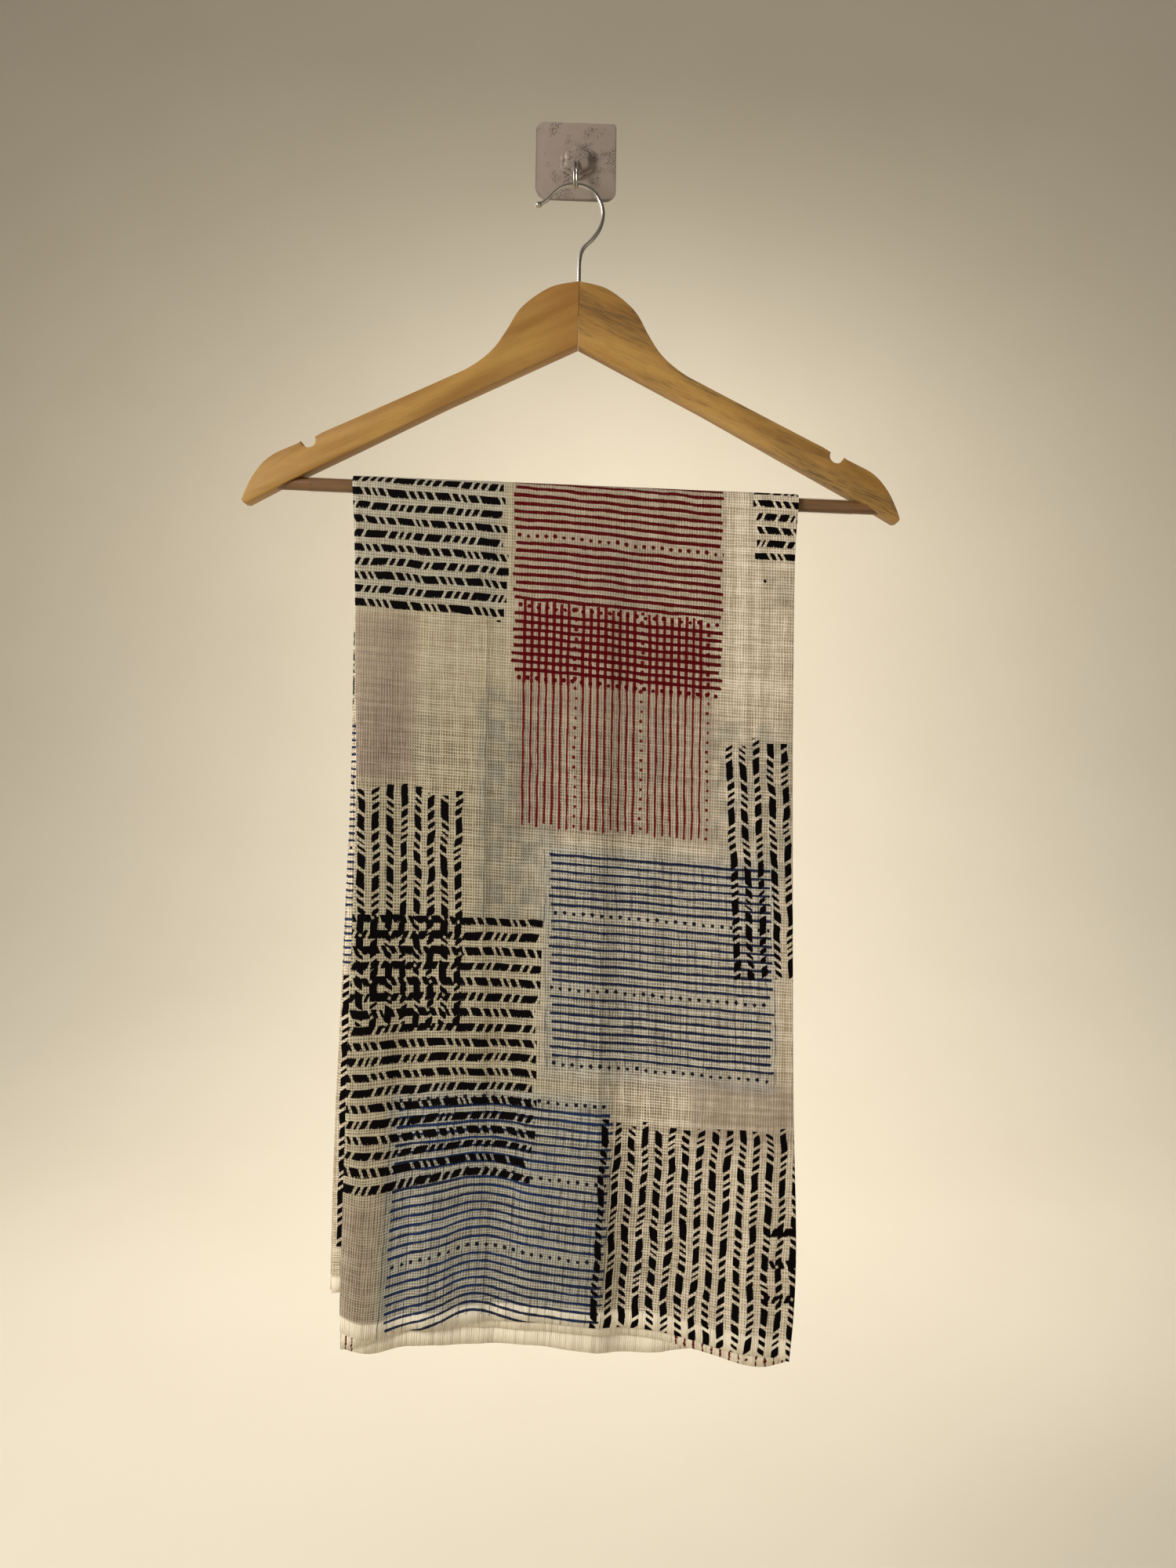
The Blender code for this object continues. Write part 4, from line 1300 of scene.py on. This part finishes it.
# %% The colours
pink, blue, ghost = cotton.parts(attribute("stains"))
patchy = stretched_noise(16.0, 9.0, 4.0, 31.0)
streak_place = stretched_noise(26.0, 2.0, 2.0, 41.0).step(0.3, 0.7)
weft_streak = cotton.random(weft_yarn + 311.0) * streak_place
streak_place = stretched_noise(2.0, 26.0, 2.0, 43.0).step(0.3, 0.7)
warp_streak = cotton.random(warp_yarn + 611.0) * streak_place
check = (warp_mm * (FULL_TURN / 24.0)).math("SINE") * (weft_mm * (FULL_TURN / 27.0)).math("SINE")
ghost = ghost * (0.45 + (check + (patchy - 0.5) * 0.8).step(-0.25, 0.25) * 0.55)
faded_rows = (weft_mm * (FULL_TURN / 5.3) + (patchy - 0.5) * 4.0).math("SINE").step(-0.5, 0.5)
pink = pink * (0.25 + patchy * 0.6 + weft_streak * 0.5 + faded_rows * 0.25)
blue = blue * (0.35 + patchy * 0.5 + warp_streak * 0.45)
ghost = ghost * (0.4 + patchy * 0.8 + warp_streak * 0.3)

# The cloth grows lighter towards its right side: the noise is the yarn's own uneven tone, the step
# across is partly painted light
tone_and_painted_light = uneven(1.2, 90.0, 120.0, 2.0, 51.0) + warp_mm.step(90.0, 280.0)
# How much fainter the painted shade in the gaps is: fainter to the right and higher up, less so
# under the blue and grey washes
fainter_gap_shade = warp_mm.step(200.0, 262.0).most(weft_mm.step(390.0, 450.0) * 0.8)
fainter_gap_shade = fainter_gap_shade * (1.0 - blue.most(ghost).least(1.0)) * 0.85
# The selvedge: ribs with painted shade in the grooves between them, uneven yarn tone and the blue
# wash
ribbed = cotton.layered(
    RIB,
    (rib_groove * 0.4, RIB_GROOVE_SHADE),
    ((rib_luck * 0.6 + patchy * 0.4).step(0.5, 1.0) * 0.3, YARN_SHADE),
    (blue * 0.3, BLUE_STAIN),
)
ground = cotton.layered(
    CREAM,
    (tone_and_painted_light.step(0.0, 1.0), CREAM_PALE_AND_LIT),
    ((warp_luck * 0.5 + weft_luck * 0.5).step(0.9, 0.15) * 0.35, YARN_SHADE),
    (slub.step(1.1, 0.7) * 0.35, YARN_SHADE),
    (ghost * 0.92, GHOST),
    (pink * 0.8, PINK_STAIN),
    ((pink * weft_off.step(0.5, 0.85) * 0.55).least(0.7), PINK_LINE),
    (blue * 0.75, BLUE_STAIN),
    (gap * 0.86, cotton.mix(fainter_gap_shade, GAP_SHADE, GAP_SHADE_FAINT)),
    (dense, ribbed),
)

# Faint threads of blue that cross the stripes of a blue block
hair_along = cotton.parts(attribute("blue_rows"))[0]
hair_off = ((hair_along / HAIR_PITCH).math("FRACT") - 0.5) * HAIR_PITCH
hair_off = hair_off + uneven(3.0, 5.0, 14.0, 2.0, 61.0)
hair = (0.34 - hair_off.absolute()).step(-0.3, 0.2)
hair = hair * stretched_noise(9.0, 22.0, 3.0, 71.0).step(0.36, 0.6)
hair = hair * (blue_marks + 6.0).step(0.0, 1.0) * 0.62

ink_wear = (0.94 + cotton.noise(flat_place, 0.6, 3.0) * 0.1).least(1.0)
fresh = stretched_noise(60.0, 45.0, 2.0, 81.0).step(0.4, 0.62) * (blue_block > SECOND_BLUE - 0.5)
blue_ink = cotton.layered(INDIGO, (fresh, INDIGO_FRESH), (blue_dotted, INDIGO_DOT))
black = black_row_marks.most(black_column_marks).step(-0.13, 0.13)
for speck_across, speck_below, wide, tall in LOOSE_SPECKS:
    across = (warp_mm - LAYER_LENGTH * 0.5 - speck_across) / wide
    down = (PLAIN_HEM - weft_mm - speck_below) / tall
    black = black.most((across * across + down * down).step(1.2, 0.8))
printed = cotton.layered(
    ground,
    (hair, INDIGO),
    (blue_marks.step(-0.2, 0.16) * ink_wear, blue_ink),
    (red_column_marks.step(-0.16, 0.16) * ink_wear, MADDER_THIN),
    (red_row_marks.step(-0.16, 0.16) * ink_wear, MADDER),
    (black, BLACK_INK),
)
cotton.set("Base Color", printed)


def pressed_line(place, low, high):
    """A soft crease that folding pressed in, at a place across and between two heights, in mm."""
    off = warp_mm - place + uneven(4.0, 300.0, 40.0, 2.0, place)
    line = 1.0 - off.absolute().step(0.0, 1.8)
    return line * weft_mm.step(low, low + 25.0) * (1.0 - weft_mm.step(high - 25.0, high))


yarn_height = (1.0 - gap) * 0.7 + (warp_off + weft_off) * 0.15 * (1.0 - dense)
yarn_height = yarn_height - dense * rib_groove * 0.8
crumple = uneven(4.0, 24.0, 44.0, 3.0, 91.0) + uneven(1.3, 7.0, 13.0, 3.0, 95.0)
creases = pressed_line(94.5, 230.0, 500.0) * 1.1 + pressed_line(174.5, 120.0, 350.0) * 1.2
creases = creases + pressed_line(120.0, 20.0, 250.0) * 0.8 + pressed_line(232.0, 40.0, 330.0) * 0.7
cotton.set("Normal", cotton.bump(yarn_height + press * 0.2 + crumple + creases, 0.00025))
cotton.set("Roughness", 0.92 - black * 0.1)

sheet = make_sheet(cotton)
print(len(cotton.tree.nodes), "nodes in the printed cotton")

# %% [markdown]
# ## Floor and light
#
# A plain pale floor that curves up far behind stands in for a studio's paper roll. The light is
# soft and comes from the upper left, as from a window, with a weak fill from the right. Two
# lamps behind reach the back and the paper, and the room's own light is brighter to the left.

# %% Floor and light
FLOOR_HEIGHT = -1.28
PAPER_REACH, PAPER_RISE, PAPER_CURVE = 3.2, 4.5, 1.6
paper_mesh = bmesh.new()
bmesh.ops.create_grid(paper_mesh, x_segments=1, y_segments=1, size=PAPER_REACH)
bmesh.ops.translate(paper_mesh, verts=paper_mesh.verts, vec=(0.0, 0.0, FLOOR_HEIGHT))
far_edge = [e for e in paper_mesh.edges if all(v.co.y > PAPER_REACH - 0.01 for v in e.verts)]
raised = bmesh.ops.extrude_edge_only(paper_mesh, edges=far_edge)["geom"]
raised = [part for part in raised if isinstance(part, bmesh.types.BMVert)]
bmesh.ops.translate(paper_mesh, verts=raised, vec=(0.0, 0.0, PAPER_RISE))
round_over(paper_mesh, far_edge, PAPER_CURVE, 24)
paper = Finish("paper roll", Roughness=0.95)
paper_grain = paper.noise(paper.place(), 3.0)
paper_colours = (from_screen(233, 223, 203), from_screen(238, 229, 210))
paper.set("Base Color", paper.mix(paper_grain, *paper_colours))
floor = put_in_scene("floor", smooth_mesh("floor", paper_mesh, paper))
print("paper", -FLOOR_HEIGHT, "m below the wall plate")


def area_light(name, place, target, size, power, colour):
    data = bpy.data.lights.new(name, "AREA")
    data.shape = "DISK"
    data.size = size
    data.energy = power
    data.color = colour
    light = put_in_scene(name, data)
    light.location = place
    aim = Vector(target) - Vector(place)
    light.rotation_euler = aim.to_track_quat("-Z", "Y").to_euler()


area_light("window", (-1.5, -1.05, 0.3), (0.0, 0.0, -0.5), 0.7, 39.0, (1.0, 0.975, 0.93))
area_light("fill", (1.3, -1.9, -0.9), (0.0, 0.0, -0.6), 1.6, 7.0, (1.0, 0.94, 0.86))
area_light("back_fill", (-1.0, 1.5, 0.6), (0.0, 0.0, -0.4), 1.2, 8.0, (1.0, 0.97, 0.92))
area_light("paper_light", (0.2, 1.5, 0.5), (0.1, 3.0, -1.2), 2.0, 25.0, (1.0, 0.97, 0.92))
studio = bpy.data.worlds.new("studio")
sky = Finish("sky", studio, Strength=1.0)
around = sky.node("ShaderNodeTexCoord", {}, {})
to_left = sky.node(
    "ShaderNodeVectorMath", {"operation": "DOT_PRODUCT"}, {0: around, 1: (-0.6, 0.35, 0.5)}, 1
)
room_light = ((0.0, (0.16, 0.15, 0.13, 1.0)), (1.0, (0.62, 0.59, 0.54, 1.0)))
sky.set("Color", sky.node("ShaderNodeValToRGB", {"stops": room_light}, {0: to_left}))
bpy.context.scene.world = studio
bpy.context.scene.view_settings.view_transform = "Standard"
